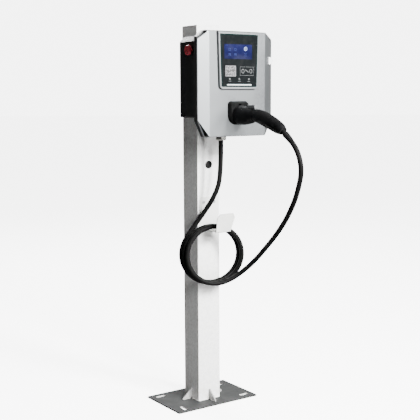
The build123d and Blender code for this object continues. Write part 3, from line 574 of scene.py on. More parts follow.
paintLooks = {
    "postPaint": {
        "colour": (0.90, 0.90, 0.885), "patch": (0.885, 0.885, 0.87), "under": (0.46, 0.46, 0.45),
        "dirt": (0.36, 0.33, 0.28), "dustColour": (0.60, 0.58, 0.54), "coat": 0.12, "rough": 0.48,
        "roughSpan": 0.07, "peelScale": 620.0, "peelDepth": 0.00005, "patchScale": 4.0, "rub": 0.3,
        "dust": 0.14, "splash": 0.4, "reach": 0.16, "tracks": 0.05},
    "hookPaint": {
        "colour": (0.76, 0.76, 0.73), "patch": (0.70, 0.70, 0.675), "under": (0.36, 0.36, 0.35),
        "dirt": (0.30, 0.28, 0.25), "dustColour": (0.55, 0.53, 0.50), "coat": 0.2, "coatRough": 0.25,
        "rough": 0.42, "roughSpan": 0.08, "peelScale": 700.0, "peelDepth": 0.0002, "patchScale": 16.0,
        "rub": 0.7, "dust": 0.3, "tracks": 0.15},
    "platePaint": {
        "colour": (0.038, 0.0395, 0.0395), "patch": (0.034, 0.0355, 0.0355), "under": (0.15, 0.15, 0.155),
        "dirt": (0.04, 0.037, 0.03), "dustColour": (0.075, 0.073, 0.068), "metallic": 0.1, "rough": 0.64,
        "roughSpan": 0.08, "peelScale": 520.0, "peelDepth": 0.0002, "patchScale": 9.0, "rub": 0.9,
        "dust": 0.08, "splash": 0.12, "reach": 0.08, "gloss": 0.12},
    "gussetPaint": {
        "colour": (0.30, 0.30, 0.295), "patch": (0.26, 0.26, 0.255), "under": (0.5, 0.5, 0.5),
        "dirt": (0.16, 0.15, 0.13), "dustColour": (0.28, 0.27, 0.25), "metallic": 0.1, "coat": 0.1,
        "rough": 0.5, "roughSpan": 0.06, "peelScale": 620.0, "peelDepth": 0.0001, "patchScale": 14.0,
        "rub": 0.6, "dust": 0.12, "splash": 0.3, "reach": 0.06},
    "cutEdge": {
        "colour": (0.62, 0.62, 0.61), "patch": (0.5, 0.5, 0.49), "under": (0.6, 0.6, 0.6),
        "dirt": (0.30, 0.27, 0.22), "dustColour": (0.4, 0.38, 0.35), "metallic": 0.2, "rough": 0.5,
        "roughSpan": 0.08, "peelScale": 400.0, "peelDepth": 0.0002, "patchScale": 60.0, "rub": 0.4,
        "dust": 0.1, "splash": 0.2, "reach": 0.02, "tracks": 0.2},
    "silverPaint": {
        "colour": (0.185, 0.195, 0.20), "patch": (0.178, 0.188, 0.192), "under": (0.12, 0.12, 0.13),
        "dirt": (0.20, 0.195, 0.18), "dustColour": (0.30, 0.295, 0.28), "metallic": 0.85, "coat": 0.2,
        "coatRough": 0.2, "rough": 0.40, "roughSpan": 0.03, "peelScale": 1100.0, "peelDepth": 0.00005,
        "patchScale": 5.0, "rub": 0.4, "dust": 0.04, "tracks": 0.03},
}

plasticLooks = {
    "blackHousing": {
        "colour": (0.042, 0.043, 0.045), "patch": (0.050, 0.0505, 0.052), "scuff": (0.035, 0.035, 0.035),
        "dustColour": (0.06, 0.058, 0.054), "rough": 0.46, "roughSpan": 0.07, "grainScale": 1100.0,
        "grainDepth": 0.00016, "flowScale": 9.0, "rub": 0.45, "dust": 0.12, "gloss": 0.25},
    "holsterPlastic": {
        "colour": (0.0032, 0.0035, 0.0035), "patch": (0.0048, 0.005, 0.005), "scuff": (0.04, 0.04, 0.04),
        "rough": 0.36, "grainScale": 1300.0, "grainDepth": 0.0001, "flowScale": 26.0, "rub": 0.6,
        "dust": 0.1, "gloss": 0.06},
    "connectorPlastic": {
        "colour": (0.0034, 0.0034, 0.0038), "patch": (0.0052, 0.0052, 0.0056), "scuff": (0.03, 0.03, 0.03),
        "rough": 0.5, "roughSpan": 0.07, "grainScale": 1500.0, "grainDepth": 0.00014, "flowScale": 30.0,
        "rub": 0.55, "dust": 0.06, "gloss": 0.06},
    "latchGrey": {
        "colour": (0.105, 0.108, 0.112), "patch": (0.12, 0.123, 0.127), "scuff": (0.12, 0.12, 0.12),
        "dustColour": (0.1, 0.097, 0.09), "rough": 0.42, "grainScale": 1500.0, "grainDepth": 0.00012,
        "flowScale": 40.0, "rub": 0.5, "dust": 0.08, "gloss": 0.3},
    "cableSheath": {
        "colour": (0.0036, 0.0036, 0.0036), "patch": (0.0052, 0.0052, 0.0050), "scuff": (0.03, 0.03, 0.03),
        "dustColour": (0.06, 0.058, 0.054), "rough": 0.5, "roughSpan": 0.09, "grainScale": 600.0,
        "grainDepth": 0.00025, "flowScale": 22.0, "rub": 0.0, "dust": 0.12, "gloss": 0.05},
    "sealRubber": {
        "colour": (0.005, 0.005, 0.005), "patch": (0.008, 0.008, 0.008), "scuff": (0.03, 0.03, 0.03),
        "dustColour": (0.06, 0.058, 0.054), "rough": 0.7, "roughSpan": 0.08, "grainScale": 700.0,
        "grainDepth": 0.0003, "flowScale": 60.0, "rub": 0.2, "dust": 0.12, "gloss": 0.12},
    "stopRed": {
        "colour": (0.95, 0.085, 0.125), "patch": (0.90, 0.075, 0.11), "scuff": (0.62, 0.20, 0.20),
        "dustColour": (0.8, 0.20, 0.22), "rough": 0.30, "roughSpan": 0.05, "grainScale": 1500.0,
        "grainDepth": 0.00005, "flowScale": 70.0, "rub": 0.35, "dust": 0.12, "coat": 0.25},
    "capWhite": {
        "colour": (0.84, 0.85, 0.85), "patch": (0.79, 0.80, 0.80), "scuff": (0.55, 0.55, 0.54),
        "dustColour": (0.60, 0.58, 0.54), "rough": 0.34, "grainScale": 1400.0, "grainDepth": 0.00005,
        "flowScale": 70.0, "rub": 0.3, "dust": 0.15, "coat": 0.2},
    "lightCasing": {
        "colour": (0.52, 0.53, 0.52), "patch": (0.47, 0.48, 0.47), "scuff": (0.7, 0.7, 0.7),
        "dustColour": (0.50, 0.48, 0.44), "rough": 0.48, "grainScale": 1300.0, "grainDepth": 0.0001,
        "flowScale": 40.0, "rub": 0.2, "dust": 0.15},
    "darkCasing": {
        "colour": (0.012, 0.0125, 0.014), "patch": (0.018, 0.018, 0.02), "scuff": (0.15, 0.15, 0.15),
        "dustColour": (0.22, 0.21, 0.19), "rough": 0.45, "grainScale": 1300.0, "grainDepth": 0.0001,
        "flowScale": 40.0, "rub": 0.3, "dust": 0.15, "gloss": 0.3},
    "wireSleeve": {
        "colour": (0.26, 0.085, 0.02), "patch": (0.31, 0.11, 0.03), "scuff": (0.4, 0.25, 0.15),
        "dustColour": (0.35, 0.25, 0.18), "rough": 0.35, "roughSpan": 0.05, "grainScale": 900.0,
        "grainDepth": 0.00005, "flowScale": 90.0, "rub": 0.1, "dust": 0.1},
}

metalLooks = {
    "zincScrew": {
        "colour": (0.56, 0.57, 0.58), "patch": (0.45, 0.46, 0.47), "dustColour": (0.35, 0.33, 0.30),
        "rough": 0.32, "lineScale": 900.0, "lineDepth": 0.00006},
    "nickelPlate": {
        "colour": (0.50, 0.49, 0.46), "patch": (0.42, 0.41, 0.385), "dustColour": (0.30, 0.28, 0.25),
        "rough": 0.30, "lineScale": 1400.0, "across": 0.08, "lineDepth": 0.00005, "dust": 0.22},
    "zincSheet": {
        "colour": (0.52, 0.54, 0.55), "patch": (0.40, 0.42, 0.44), "dustColour": (0.40, 0.38, 0.35),
        "rough": 0.42, "roughSpan": 0.12, "lineScale": 90.0, "lineDepth": 0.0001},
    "turnedBrass": {
        "colour": (0.70, 0.50, 0.20), "patch": (0.60, 0.42, 0.16), "dustColour": (0.40, 0.35, 0.25),
        "rough": 0.28, "roughSpan": 0.08, "lineScale": 1400.0, "across": 0.1, "lineDepth": 0.00005,
        "dust": 0.1},
    "contactSilver": {
        "colour": (0.80, 0.79, 0.76), "patch": (0.70, 0.69, 0.65), "dustColour": (0.5, 0.47, 0.4),
        "rough": 0.20, "roughSpan": 0.08, "lineScale": 1600.0, "lineDepth": 0.00003, "dust": 0.05},
}

glassLooks = {
    "displayGlass": {"colour": (0.0045, 0.0056, 0.0060), "film": (0.006, 0.007, 0.0075),
                     "rough": 0.07, "smear": 0.07},
    "tealEdge": {"colour": (0.002, 0.012, 0.011), "film": (0.003, 0.017, 0.015),
                 "rough": 0.10, "smear": 0.08},
}
glassBase = {"dust": 0.12, "dustScale": 60.0, "everywhere": 0.5, "dustColour": (0.06, 0.06, 0.057),
             "smearScale": 26.0, "smears": (0.45, 0.72), "waveScale": 30.0, "waveDepth": 0.00002}


def backedGlass(name, look):
    # glass printed from behind: a deep colour under a clean coat with finger smears
    look = {**glassBase, **look}
    material, tree, shader = startMaterial(name, Coat_Weight=0.8, Coat_Roughness=0.03, IOR=1.5)
    dust = dustOn(tree, look)
    smears = spread(tree, noiseOf(tree, look["smearScale"], 5.0, 0.6, (1.0, 1.0, 0.6)), *look["smears"])
    colour = mixColour(tree, smears, look["colour"], look["film"])
    colour = mixColour(tree, dust.outputs["Mask"], colour, look["dustColour"])
    rough = spread(tree, smears, 0.0, 1.0, look["rough"], look["rough"] + look["smear"])
    feed(tree, shader, Base_Color=colour, Roughness=rough)
    bumpFrom(tree, shader, noiseOf(tree, look["waveScale"], 2.0), look["waveDepth"])
    return material


litLooks = {
    "screenBlue": {"low": (0.0022, 0.0028, 0.019), "high": (0.0044, 0.0054, 0.036), "glow": 0.3},
    "screenMark": {"low": (0.012, 0.017, 0.06), "high": (0.018, 0.026, 0.088), "glow": 0.4},
    "screenBright": {"low": (0.14, 0.18, 0.30), "high": (0.18, 0.22, 0.34), "glow": 0.5},
    "lampWhite": {"low": (0.42, 0.45, 0.45), "high": (0.52, 0.55, 0.55), "glow": 0.8, "rows": 40.0,
                  "from": 1.22, "to": 1.232},
}
# fine rows, the screen's foot and head in metres, and the parts of the height, clouds and rows in the glow
litBase = {"rows": 2600.0, "from": 1.317, "to": 1.369, "riseShare": 0.65, "cloudShare": 0.35,
           "rowShare": 0.04, "cloudScale": 18.0, "rough": (0.16, 0.26)}


def litFace(name, look):
    # a face lit from behind: a height gradient with fine rows, under a glossy skin
    look = {**litBase, **look}
    material, tree, shader = startMaterial(name, Roughness=0.2, Coat_Weight=0.5,
                                           Emission_Strength=look["glow"])
    height = splitUp(tree, ownSpace(tree))["Z"]
    rise = spread(tree, height, look["from"], look["to"])
    cloud = spread(tree, noiseOf(tree, look["cloudScale"], 3.0), 0.3, 0.7)
    share = plus(tree, times(tree, rise, look["riseShare"]), times(tree, cloud, look["cloudShare"]), True)
    rows = mathNode(tree, "SINE", times(tree, height, look["rows"]))
    share = plus(tree, share, times(tree, rows, look["rowShare"]), True)
    colour = mixColour(tree, share, look["low"], look["high"])
    feed(tree, shader, Base_Color=colour, Emission_Color=colour,
         Roughness=spread(tree, cloud, 0.0, 1.0, *look["rough"]))
    return material


printLooks = {
    "printWhite": {"colour": (0.135, 0.135, 0.14), "worn": (0.10, 0.10, 0.105), "rough": 0.38},
    "printPale": {"colour": (0.11, 0.115, 0.115), "worn": (0.07, 0.075, 0.075), "rough": 0.38},
    "printDark": {"colour": (0.011, 0.011, 0.011), "worn": (0.018, 0.018, 0.018), "rough": 0.42},
}
inkBase = {"fleckScale": 900.0, "flecks": (0.42, 0.66), "wornRough": 0.15, "skinScale": 1200.0,
           "skinDepth": 0.00003}


def printedInk(name, look):
    look = {**inkBase, **look}
    material, tree, shader = startMaterial(name)
    flecks = spread(tree, noiseOf(tree, look["fleckScale"], 4.0, 0.7), *look["flecks"])
    feed(tree, shader, Base_Color=mixColour(tree, flecks, look["colour"], look["worn"]),
         Roughness=spread(tree, flecks, 0, 1, look["rough"], look["rough"] + look["wornRough"]))
    bumpFrom(tree, shader, noiseOf(tree, look["skinScale"], 3.0), look["skinDepth"])
    return material


boardLook = {"scale": 260.0, "copper": (0.52, 0.60), "pads": (0.16, 0.12), "mask": (0.012, 0.085, 0.035),
             "track": (0.02, 0.15, 0.065), "solder": (0.55, 0.50, 0.36)}


def circuitBoard(name, look):
    # solder mask over copper tracks, with bare pads
    material, tree, shader = startMaterial(name, Coat_Weight=0.3, Coat_Roughness=0.2)
    tracks = tree.nodes.new("ShaderNodeTexVoronoi")
    tracks.distance = "MANHATTAN"
    tracks.feature = "F1"
    tracks.inputs["Scale"].default_value = look["scale"]
    tree.links.new(ownSpace(tree), tracks.inputs["Vector"])
    copper = spread(tree, tracks.outputs["Distance"], *look["copper"])
    pads = spread(tree, tracks.outputs["Distance"], *look["pads"])
    colour = mixColour(tree, copper, look["mask"], look["track"])
    colour = mixColour(tree, pads, colour, look["solder"])
    feed(tree, shader, Base_Color=colour, Metallic=pads,
         Roughness=spread(tree, noiseOf(tree, 60.0), 0.3, 0.7, 0.28, 0.42))
    bumpFrom(tree, shader, copper, 0.00008)
    return material


finishes = {}
for makeFinish, looks in ((sprayedMetal, paintLooks), (mouldedPlastic, plasticLooks), (bareMetal, metalLooks),
                          (backedGlass, glassLooks), (litFace, litLooks), (printedInk, printLooks),
                          (circuitBoard, {"boardGreen": boardLook})):
    for finishName, finishLook in looks.items():
        finishes[finishName] = makeFinish(finishName, finishLook)
print("finishes:", len(finishes))


# softened copies of the sheet, cast and moulded pieces

joinReach, flatUnder = 2e-6, 0.6      # metres, and degrees between faces that count as one


def softened(node, name, finish, width, segments=3, over=28, smoothUnder=32):
    source = cadNodes[node]
    shaper = bmesh.new()
    shaper.from_mesh(source.data)
    bmesh.ops.remove_doubles(shaper, verts=shaper.verts, dist=joinReach)
    bmesh.ops.dissolve_limit(shaper, angle_limit=math.radians(flatUnder), verts=shaper.verts,
                             edges=shaper.edges)
    shaper.verts.index_update()
    verts = [vert.co.copy() for vert in shaper.verts]
    faces = [[vert.index for vert in face.verts] for face in shaper.faces]
    shaper.free()
    piece = addPiece(name, verts, faces, sharpOver=smoothUnder)
    rounding = piece.modifiers.new("roundedEdges", "BEVEL")
    rounding.width = width
    rounding.segments = segments
    rounding.limit_method = "ANGLE"
    rounding.angle_limit = math.radians(over)
    rounding.use_clamp_overlap = True
    rounding.harden_normals = True
    dress(piece, finishes[finish])
    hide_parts(node)
    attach(piece, cadNodes[node]["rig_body"])
    return piece


softEdges = {
    "base_plate": ("anchorPlate", "platePaint", 0.0007),
    "gusset_left": ("leftGusset", "gussetPaint", 0.0006),
    "gusset_right": ("rightGusset", "gussetPaint", 0.0006),
    "gusset_front": ("frontGusset", "gussetPaint", 0.0006),
    "gusset_back": ("backGusset", "gussetPaint", 0.0006),
    "post_cap": ("postLid", "postPaint", 0.0004),
    "cable_hook": ("cableHook", "hookPaint", 0.0006),
    "rear_housing": ("rearHousing", "blackHousing", 0.0010),
    "front_cover": ("frontCover", "silverPaint", 0.0012),
    "display_frame": ("displayPlinth", "silverPaint", 0.0006),
    "connector_holster": ("holsterBezel", "holsterPlastic", 0.0010),
    "side_cap": ("whiteSideCap", "capWhite", 0.0007),
    "stop_barrel": ("stopBarrel", "holsterPlastic", 0.0005),
    "stop_head": ("stopHead", "stopRed", 0.0005),
    "gland_nut": ("glandNut", "nickelPlate", 0.0005),
    "gland_body": ("glandBody", "nickelPlate", 0.0005),
    "box_bracket": ("boxBracket", "zincSheet", 0.0004),
}

softPieces = {}
for softNode, (softName, softFinish, softWidth) in softEdges.items():
    softPieces[softNode] = softened(softNode, softName, softFinish, softWidth)

# the walls of the anchor slots are bare where they were cut after painting
plate = softPieces["base_plate"]
plate.data.materials.append(finishes["cutEdge"])
slotReach = {"inX": 0.110, "outX": 0.170, "outY": 0.110}
for face in plate.data.polygons:
    where = face.center
    inSlot = slotReach["inX"] < abs(where.x) < slotReach["outX"] and abs(where.y) < slotReach["outY"]
    if abs(face.normal.z) < 0.5 and inSlot:
        face.material_index = 1
print("softened pieces:", len(softPieces))

plainFinishes = {
    "postPaint": ["post_tube"],
    "sealRubber": ["post_grommet", "cover_gasket", "gland_seal"],
    "zincScrew": ["hook_screws", "bracket_screws", "housing_screws", "cover_screws", "latch_pin",
                  "latch_spring"],
    "displayGlass": ["display_glass"],
    "tealEdge": ["light_bar"],
    "darkCasing": ["screen_module", "contactor", "current_sensor"],
    "boardGreen": ["card_reader", "indicator_board", "control_board"],
    "zincSheet": ["component_plate"],
    "lightCasing": ["terminal_block", "power_supply", "stop_contacts"],
    "wireSleeve": ["power_wires"],
    "turnedBrass": ["board_standoffs"],
    "holsterPlastic": ["stop_nut", "connector_nose"],
    "stopRed": ["stop_stem"],
    "nickelPlate": ["gland_locknut"],
    "cableSheath": ["cable_entry"],
    "connectorPlastic": ["connector_shell_left", "connector_shell_right"],
    "latchGrey": ["latch_lever"],
    "contactSilver": ["connector_contacts"],
}
for plainFinish, plainNodes in plainFinishes.items():
    for plainNode in plainNodes:
        dress(cadNodes[plainNode], finishes[plainFinish])
dress(chargingCable, finishes["cableSheath"])
print("finishes on the packed pieces:", sum(len(group) for group in plainFinishes.values()))


# display: printed and lit marks on the glass

displayMarks = {
    "skin": 0.0003,          # how thick a mark stands on the glass
    "behind": 0.0001,        # how far it reaches into the glass, and a ground sits below its marks
    "screen": (-0.066, 0.057, 1.3175, 1.369),
    "screenCorner": 0.002,
    "iconColumns": (-0.0427, -0.0175),
    "iconFrame": (0.0048, 1.3490, 1.3545, 0.0011),      # half width, foot, head, line
    "iconBars": ((0.0062, 1.3462, 0.0010), (0.0052, 1.3345, 0.0046), (0.0066, 1.3292, 0.0010)),
    "captions": ((0.0215, 0.0335, 1.3385, 0.0014), (0.0235, 0.0315, 1.3350, 0.0012),
                 (0.0215, 0.0335, 1.3290, 0.0012), (-0.060, -0.050, 1.3655, 0.0010)),
    "bolt": [(0.0285, 1.3590), (0.0245, 1.3535), (0.0275, 1.3535), (0.0258, 1.3490), (0.0312, 1.3550),
             (0.0280, 1.3550)],
    "chargeRing": (0.0278, 1.3541, 0.0048, 0.0074),
    "codePatch": (-0.061, -0.015, 1.256, 1.2935),
    "codeCorner": 0.0008,
    "codeMargin": 0.002,
    "codeSize": (12, 10),
    "codeFill": 0.98,
    "cardFrame": (0.0035, 0.064, 1.260, 1.290),
    "cardLine": 0.0007,
    "cardRing": (0.0125, 0.0048, 0.0062, 1.25),         # in from the side, inner, outer, stretch upward
    "cardBars": ((-0.0065, 0.0045, -0.0015, 0.0010, 0.0030), (0.0010, -0.0002, 0.0065, -0.0040, 0.0030),
                 (-0.0055, 0.0030, 0.0055, -0.0030, 0.0009)),
    "lamps": (-0.042, 0.0, 0.042),
    "lampHeight": 1.247,
    "lampDot": 0.0019,
    "lampRing": (0.0029, 0.0035),
    "lampBar": (0.0058, 0.0078, 0.0011),                # half width, how far below, line
}
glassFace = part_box("display_glass")[0].y


def boxOutline(left, right, low, high, corner=0.0, steps=5):
    if corner <= 0:
        return [(left, low), (right, low), (right, high), (left, high)]
    points = []
    for middleX, middleZ, start in ((right - corner, low + corner, -90), (right - corner, high - corner, 0),
                                    (left + corner, high - corner, 90), (left + corner, low + corner, 180)):
        for step in range(steps + 1):
            angle = math.radians(start + 90 * step / steps)
            points.append((middleX + corner * math.cos(angle), middleZ + corner * math.sin(angle)))
    return points


def disc(x, z, radius, steps=28):
    return [(x + radius * math.cos(2 * math.pi * n / steps), z + radius * math.sin(2 * math.pi * n / steps))
            for n in range(steps)]


def arcBand(x, z, inner, outer, start, end, steps=16):
    angles = [math.radians(start + (end - start) * n / steps) for n in range(steps + 1)]
    points = [(x + outer * math.cos(a), z + outer * math.sin(a)) for a in angles]
    return points + [(x + inner * math.cos(a), z + inner * math.sin(a)) for a in reversed(angles)]


def ring(x, z, inner, outer):
    return [arcBand(x, z, inner, outer, 0, 180), arcBand(x, z, inner, outer, 180, 360)]


def bar(x1, z1, x2, z2, wide):
    along = Vector((x2 - x1, z2 - z1))
    side = Vector((-along.y, along.x)).normalized() * wide / 2
    return [(x1 + side.x, z1 + side.y), (x2 + side.x, z2 + side.y),
            (x2 - side.x, z2 - side.y), (x1 - side.x, z1 - side.y)]


def frameBars(left, right, low, high, wide):
    return [bar(left, low, right, low, wide), bar(left, high, right, high, wide),
            bar(left, low, left, high, wide), bar(right, low, right, high, wide)]


def printMarks(name, outlines, finish, lift=0.0):
    skin = displayMarks["skin"]
    front, back = glassFace - skin - lift, glassFace + displayMarks["behind"]
    verts, faces = [], []
    for outline in outlines:
        start, count = len(verts), len(outline)
        verts += [(x, front, z) for x, z in outline] + [(x, back, z) for x, z in outline]
        faces.append(tuple(range(start, start + count)))
        faces.append(tuple(reversed(range(start + count, start + 2 * count))))
        for n in range(count):
            m = (n + 1) % count
            faces.append((start + m, start + n, start + count + n, start + count + m))
    piece = dress(addPiece(name, verts, faces, smooth=False), finishes[finish])
    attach(piece, "post")
    return piece


groundLift = -displayMarks["behind"]
left, right, low, high = displayMarks["screen"]
screenOutline = boxOutline(left, right, low, high, displayMarks["screenCorner"])
printMarks("screenFace", [screenOutline], "screenBlue", groundLift)
frameHalf, frameFoot, frameHead, frameLine = displayMarks["iconFrame"]
smallIcons = []
for iconX in displayMarks["iconColumns"]:
    smallIcons += frameBars(iconX - frameHalf, iconX + frameHalf, frameFoot, frameHead, frameLine)
    smallIcons += [bar(iconX - half, z, iconX + half, z, line) for half, z, line in displayMarks["iconBars"]]
smallIcons += [bar(x1, z, x2, z, line) for x1, x2, z, line in displayMarks["captions"]]
printMarks("screenIcons", smallIcons, "screenMark")
printMarks("chargeIcon", ring(*displayMarks["chargeRing"]) + [displayMarks["bolt"]], "screenBright")

left, right, low, high = displayMarks["codePatch"]
printMarks("codeGround", [boxOutline(left, right, low, high, displayMarks["codeCorner"])], "printWhite",
           groundLift)
random.seed(7)
columns, rowsHigh = displayMarks["codeSize"]
margin, fill = displayMarks["codeMargin"], displayMarks["codeFill"]
cellWide, cellHigh = (right - left - 2 * margin) / columns, (high - low - 2 * margin) / rowsHigh
codeCells = []
for column in range(columns):
    for row in range(rowsHigh):
        if random.random() < 0.5:
            x, z = left + margin + column * cellWide, low + margin + row * cellHigh
            codeCells.append(boxOutline(x, x + cellWide * fill, z, z + cellHigh * fill))
printMarks("codeCells", codeCells, "printDark")

left, right, low, high = displayMarks["cardFrame"]
middle, centre = (low + high) / 2, (left + right) / 2
cardMarks = frameBars(left, right, low, high, displayMarks["cardLine"])
ringIn, ringInner, ringOuter, ringStretch = displayMarks["cardRing"]
for markX in (left + ringIn, right - ringIn):
    for start in (0, 180):
        outline = arcBand(markX, middle, ringInner, ringOuter, start, start + 180)
        cardMarks.append([(x, middle + (z - middle) * ringStretch) for x, z in outline])
for x1, z1, x2, z2, line in displayMarks["cardBars"]:
    cardMarks.append(bar(centre + x1, middle + z1, centre + x2, middle + z2, line))
printMarks("cardSymbol", cardMarks, "printPale")

lampMarks = []
barHalf, barBelow, barLine = displayMarks["lampBar"]
for lampX in displayMarks["lamps"]:
    z = displayMarks["lampHeight"]
    lampMarks += [disc(lampX, z, displayMarks["lampDot"])] + ring(lampX, z, *displayMarks["lampRing"])
    lampMarks += [bar(lampX - barHalf, z - barBelow, lampX + barHalf, z - barBelow, barLine)]
printMarks("lampSymbols", lampMarks, "printPale")

glassEdge = {"topHalf": 0.084, "lowHalf": 0.078, "outside": 0.0014, "inside": 0.0034}
glassLow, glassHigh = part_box("display_glass")


def edgeOutline(inset):
    lowHalf, topHalf = glassEdge["lowHalf"] - inset, glassEdge["topHalf"] - inset
    foot, head = glassLow.z + inset, glassHigh.z - inset
    return [(-lowHalf, foot), (lowHalf, foot), (topHalf, head), (-topHalf, head)]


outerEdge, innerEdge = edgeOutline(glassEdge["outside"]), edgeOutline(glassEdge["inside"])
edgeBands = []
for n in range(4):
    m = (n + 1) % 4
    edgeBands.append([outerEdge[n], outerEdge[m], innerEdge[m], innerEdge[n]])
printMarks("glassEdgeBand", edgeBands, "tealEdge", groundLift)

# sizes of a near-black ring laid in the groove round the display plinth as painted shade
plinthShadeRing = {"gap": 0.0006, "wide": 0.0017, "proud": 0.0004, "sunk": 0.0006, "corner": 0.015,
              "taper": 0.007, "taperRun": 0.2, "cornerSteps": 8}
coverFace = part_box("front_cover")[0].y


def plinthOutline(grow):
    # the plinth's own outline: slightly narrower at the foot, with two round lower corners
    low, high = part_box("display_frame")
    corner, steps = plinthShadeRing["corner"], plinthShadeRing["cornerSteps"]
    narrow = plinthShadeRing["taper"] * (1 - grow / plinthShadeRing["taperRun"])
    reach = corner + grow
    points = [(high.x + grow, high.z + grow), (low.x - grow, high.z + grow)]
    for middleX, start in ((low.x + narrow + corner, 180), (high.x - narrow - corner, 270)):
        for step in range(steps + 1):
            angle = math.radians(start + 90 * step / steps)
            points.append((middleX + reach * math.cos(angle), low.z + corner + reach * math.sin(angle)))
    return points


# painted shade: a near-black ring in the groove round the plinth, darkening the gap where shade falls
def makePlinthShadeRing(setup):
    inner, outer = plinthOutline(setup["gap"]), plinthOutline(setup["gap"] + setup["wide"])
    count = len(inner)
    front, back = coverFace - setup["proud"], coverFace + setup["sunk"]
    verts = [(x, y, z) for y in (front, back) for outline in (inner, outer) for x, z in outline]
    faces = []
    for n in range(count):
        m = (n + 1) % count
        for a, b in ((0, 1), (1, 3), (3, 2), (2, 0)):
            faces.append((a * count + n, a * count + m, b * count + m, b * count + n))
    seal = dress(addPiece("plinthShadeRing", verts, faces, sharpOver=30), finishes["sealRubber"])
    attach(seal, "post")


makePlinthShadeRing(plinthShadeRing)
print("display seal done")

lampStrip = {"rise": 0.0031, "half": 0.0019, "inset": 0.0012, "corner": 0.0018, "lift": 0.0004}
barLow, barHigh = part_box("light_bar")
barMiddle = barLow.z + lampStrip["rise"]
stripOutline = boxOutline(barLow.x + lampStrip["inset"], barHigh.x - lampStrip["inset"],
                          barMiddle - lampStrip["half"], barMiddle + lampStrip["half"], lampStrip["corner"])
printMarks("lightBarFace", [stripOutline], "lampWhite", lampStrip["lift"])
print("display marks done")


# welds at the foot of the post

footWelds = {"size": 0.0020, "ripple": 0.16, "pitch": 0.0024, "step": 0.0008, "wander": 0.0003,
             "sway": 190, "shake": 0.4, "tip": 0.45, "tipGrow": 0.12, "sides": 10,
             "besideGusset": 0.007, "fromCorner": 0.002, "fromPost": 0.010, "gussetSize": 0.0015}


def weldPath(start, end, setup):
    # a straight run with the small wander of a hand weld
    start, end = Vector(start), Vector(end)
    count = max(3, round((end - start).length / setup["step"]))
    side = (end - start).orthogonal().normalized()
    path, radii = [], []
    for n in range(count + 1):
        along = (end - start).length * n / count
        shake = random.uniform(-setup["shake"], setup["shake"])
        drift = setup["wander"] * (math.sin(along * setup["sway"]) + shake)
        taper = min(1.0, setup["tip"] + min(n, count - n) * setup["tipGrow"])
        ripple = 1 + setup["ripple"] * math.sin(2 * math.pi * along / setup["pitch"])
        path.append(start.lerp(end, n / count) + side * drift)
        radii.append(setup["size"] * taper * ripple)
    return path, radii


def makeWelds(name, runs, setup, finish):
    verts, faces = [], []
    for start, end in runs:
        path, radii = weldPath(start, end, setup)
        bead = tubeMesh("bead", path, radii, setup["sides"])
        first = len(verts)
        verts += [vert.co.copy() for vert in bead.data.vertices]
        faces += [[first + n for n in face.vertices] for face in bead.data.polygons]
        mesh = bead.data
        bpy.data.objects.remove(bead)
        bpy.data.meshes.remove(mesh)
    weld = dress(addPiece(name, verts, faces, sharpOver=70), finishes[finish])
    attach(weld, "post")


random.seed(11)
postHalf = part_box("post_tube")[1].x
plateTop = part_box("base_plate")[1].z
gussetHalf = 0.0025      # half the gusset's thickness
beside, corner, clear = footWelds["besideGusset"], footWelds["fromCorner"], footWelds["fromPost"]
footRuns, gussetRuns = [], []
for turn in range(4):
    spin = Matrix.Rotation(math.radians(90 * turn), 3, "Z")
    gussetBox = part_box(("gusset_right", "gusset_back", "gusset_left", "gusset_front")[turn])
    reach = max(abs(value) for corner in gussetBox for value in (corner.x, corner.y))
    top = gussetBox[1].z
    for edge in (-1, 1):
        footRuns.append((spin @ Vector((postHalf, edge * beside, plateTop)),
                         spin @ Vector((postHalf, edge * (postHalf - corner), plateTop))))
        across = edge * gussetHalf
        gussetRuns.append((spin @ Vector((postHalf + clear, across, plateTop)),
                           spin @ Vector((reach - corner, across, plateTop))))
        gussetRuns.append((spin @ Vector((postHalf, across, plateTop + clear)),
                           spin @ Vector((postHalf, across, top - corner))))
makeWelds("footWeld", footRuns, footWelds, "postPaint")
makeWelds("gussetWelds", gussetRuns, dict(footWelds, size=footWelds["gussetSize"]), "gussetPaint")
print("welds done")


# strain relief where the cable leaves the connector

reliefSetup = {"inside": 0.018, "droop": 37, "length": 0.034, "mouth": 0.0116, "end": 0.0098,
               "ribs": 6, "ribDepth": 0.0007, "step": 0.0005, "overCable": 0.0004, "lipOverCable": 0.0002,
               "followed": 16, "sides": 28}


def makeRelief(setup):
    droop = math.radians(setup["droop"])
    inward = Vector((0, math.cos(droop), math.sin(droop)))
    outside = cablePath[::-1][:setup["followed"]]
    line = [outside[0] + inward * setup["inside"], outside[0] + inward * setup["inside"] / 2] + outside
    path, length = evenPath(line, setup["step"])
    whole = setup["inside"] + setup["length"]
    path = [point for n, point in enumerate(path) if length * n / (len(path) - 1) <= whole]
    radii = []
    for n in range(len(path)):
        past = n * setup["step"] - setup["inside"]
        if past < 0:
            radii.append(cableRoute["radius"] + setup["overCable"])
            continue
        share = min(past / setup["length"], 1)
        rib = max(0.0, math.sin(2 * math.pi * (setup["ribs"] * share - 0.25))) ** 0.5
        radii.append(setup["mouth"] + (setup["end"] - setup["mouth"]) * share - setup["ribDepth"] * rib)
    radii[-1] = cableRoute["radius"] + setup["lipOverCable"]
    relief = dress(tubeMesh("strainRelief", path, radii, setup["sides"]), finishes["connectorPlastic"])
    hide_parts("cable_boot")
    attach(relief, "connector")
    return relief


strainRelief = makeRelief(reliefSetup)
print("strain relief done")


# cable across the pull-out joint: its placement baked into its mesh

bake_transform(chargingCable)


# floor and studio light

floorSetup = {"size": 80.0, "colour": (0.88, 0.88, 0.875), "patch": (0.86, 0.86, 0.855),
              "lift": 5.6, "bounce": 0.1}


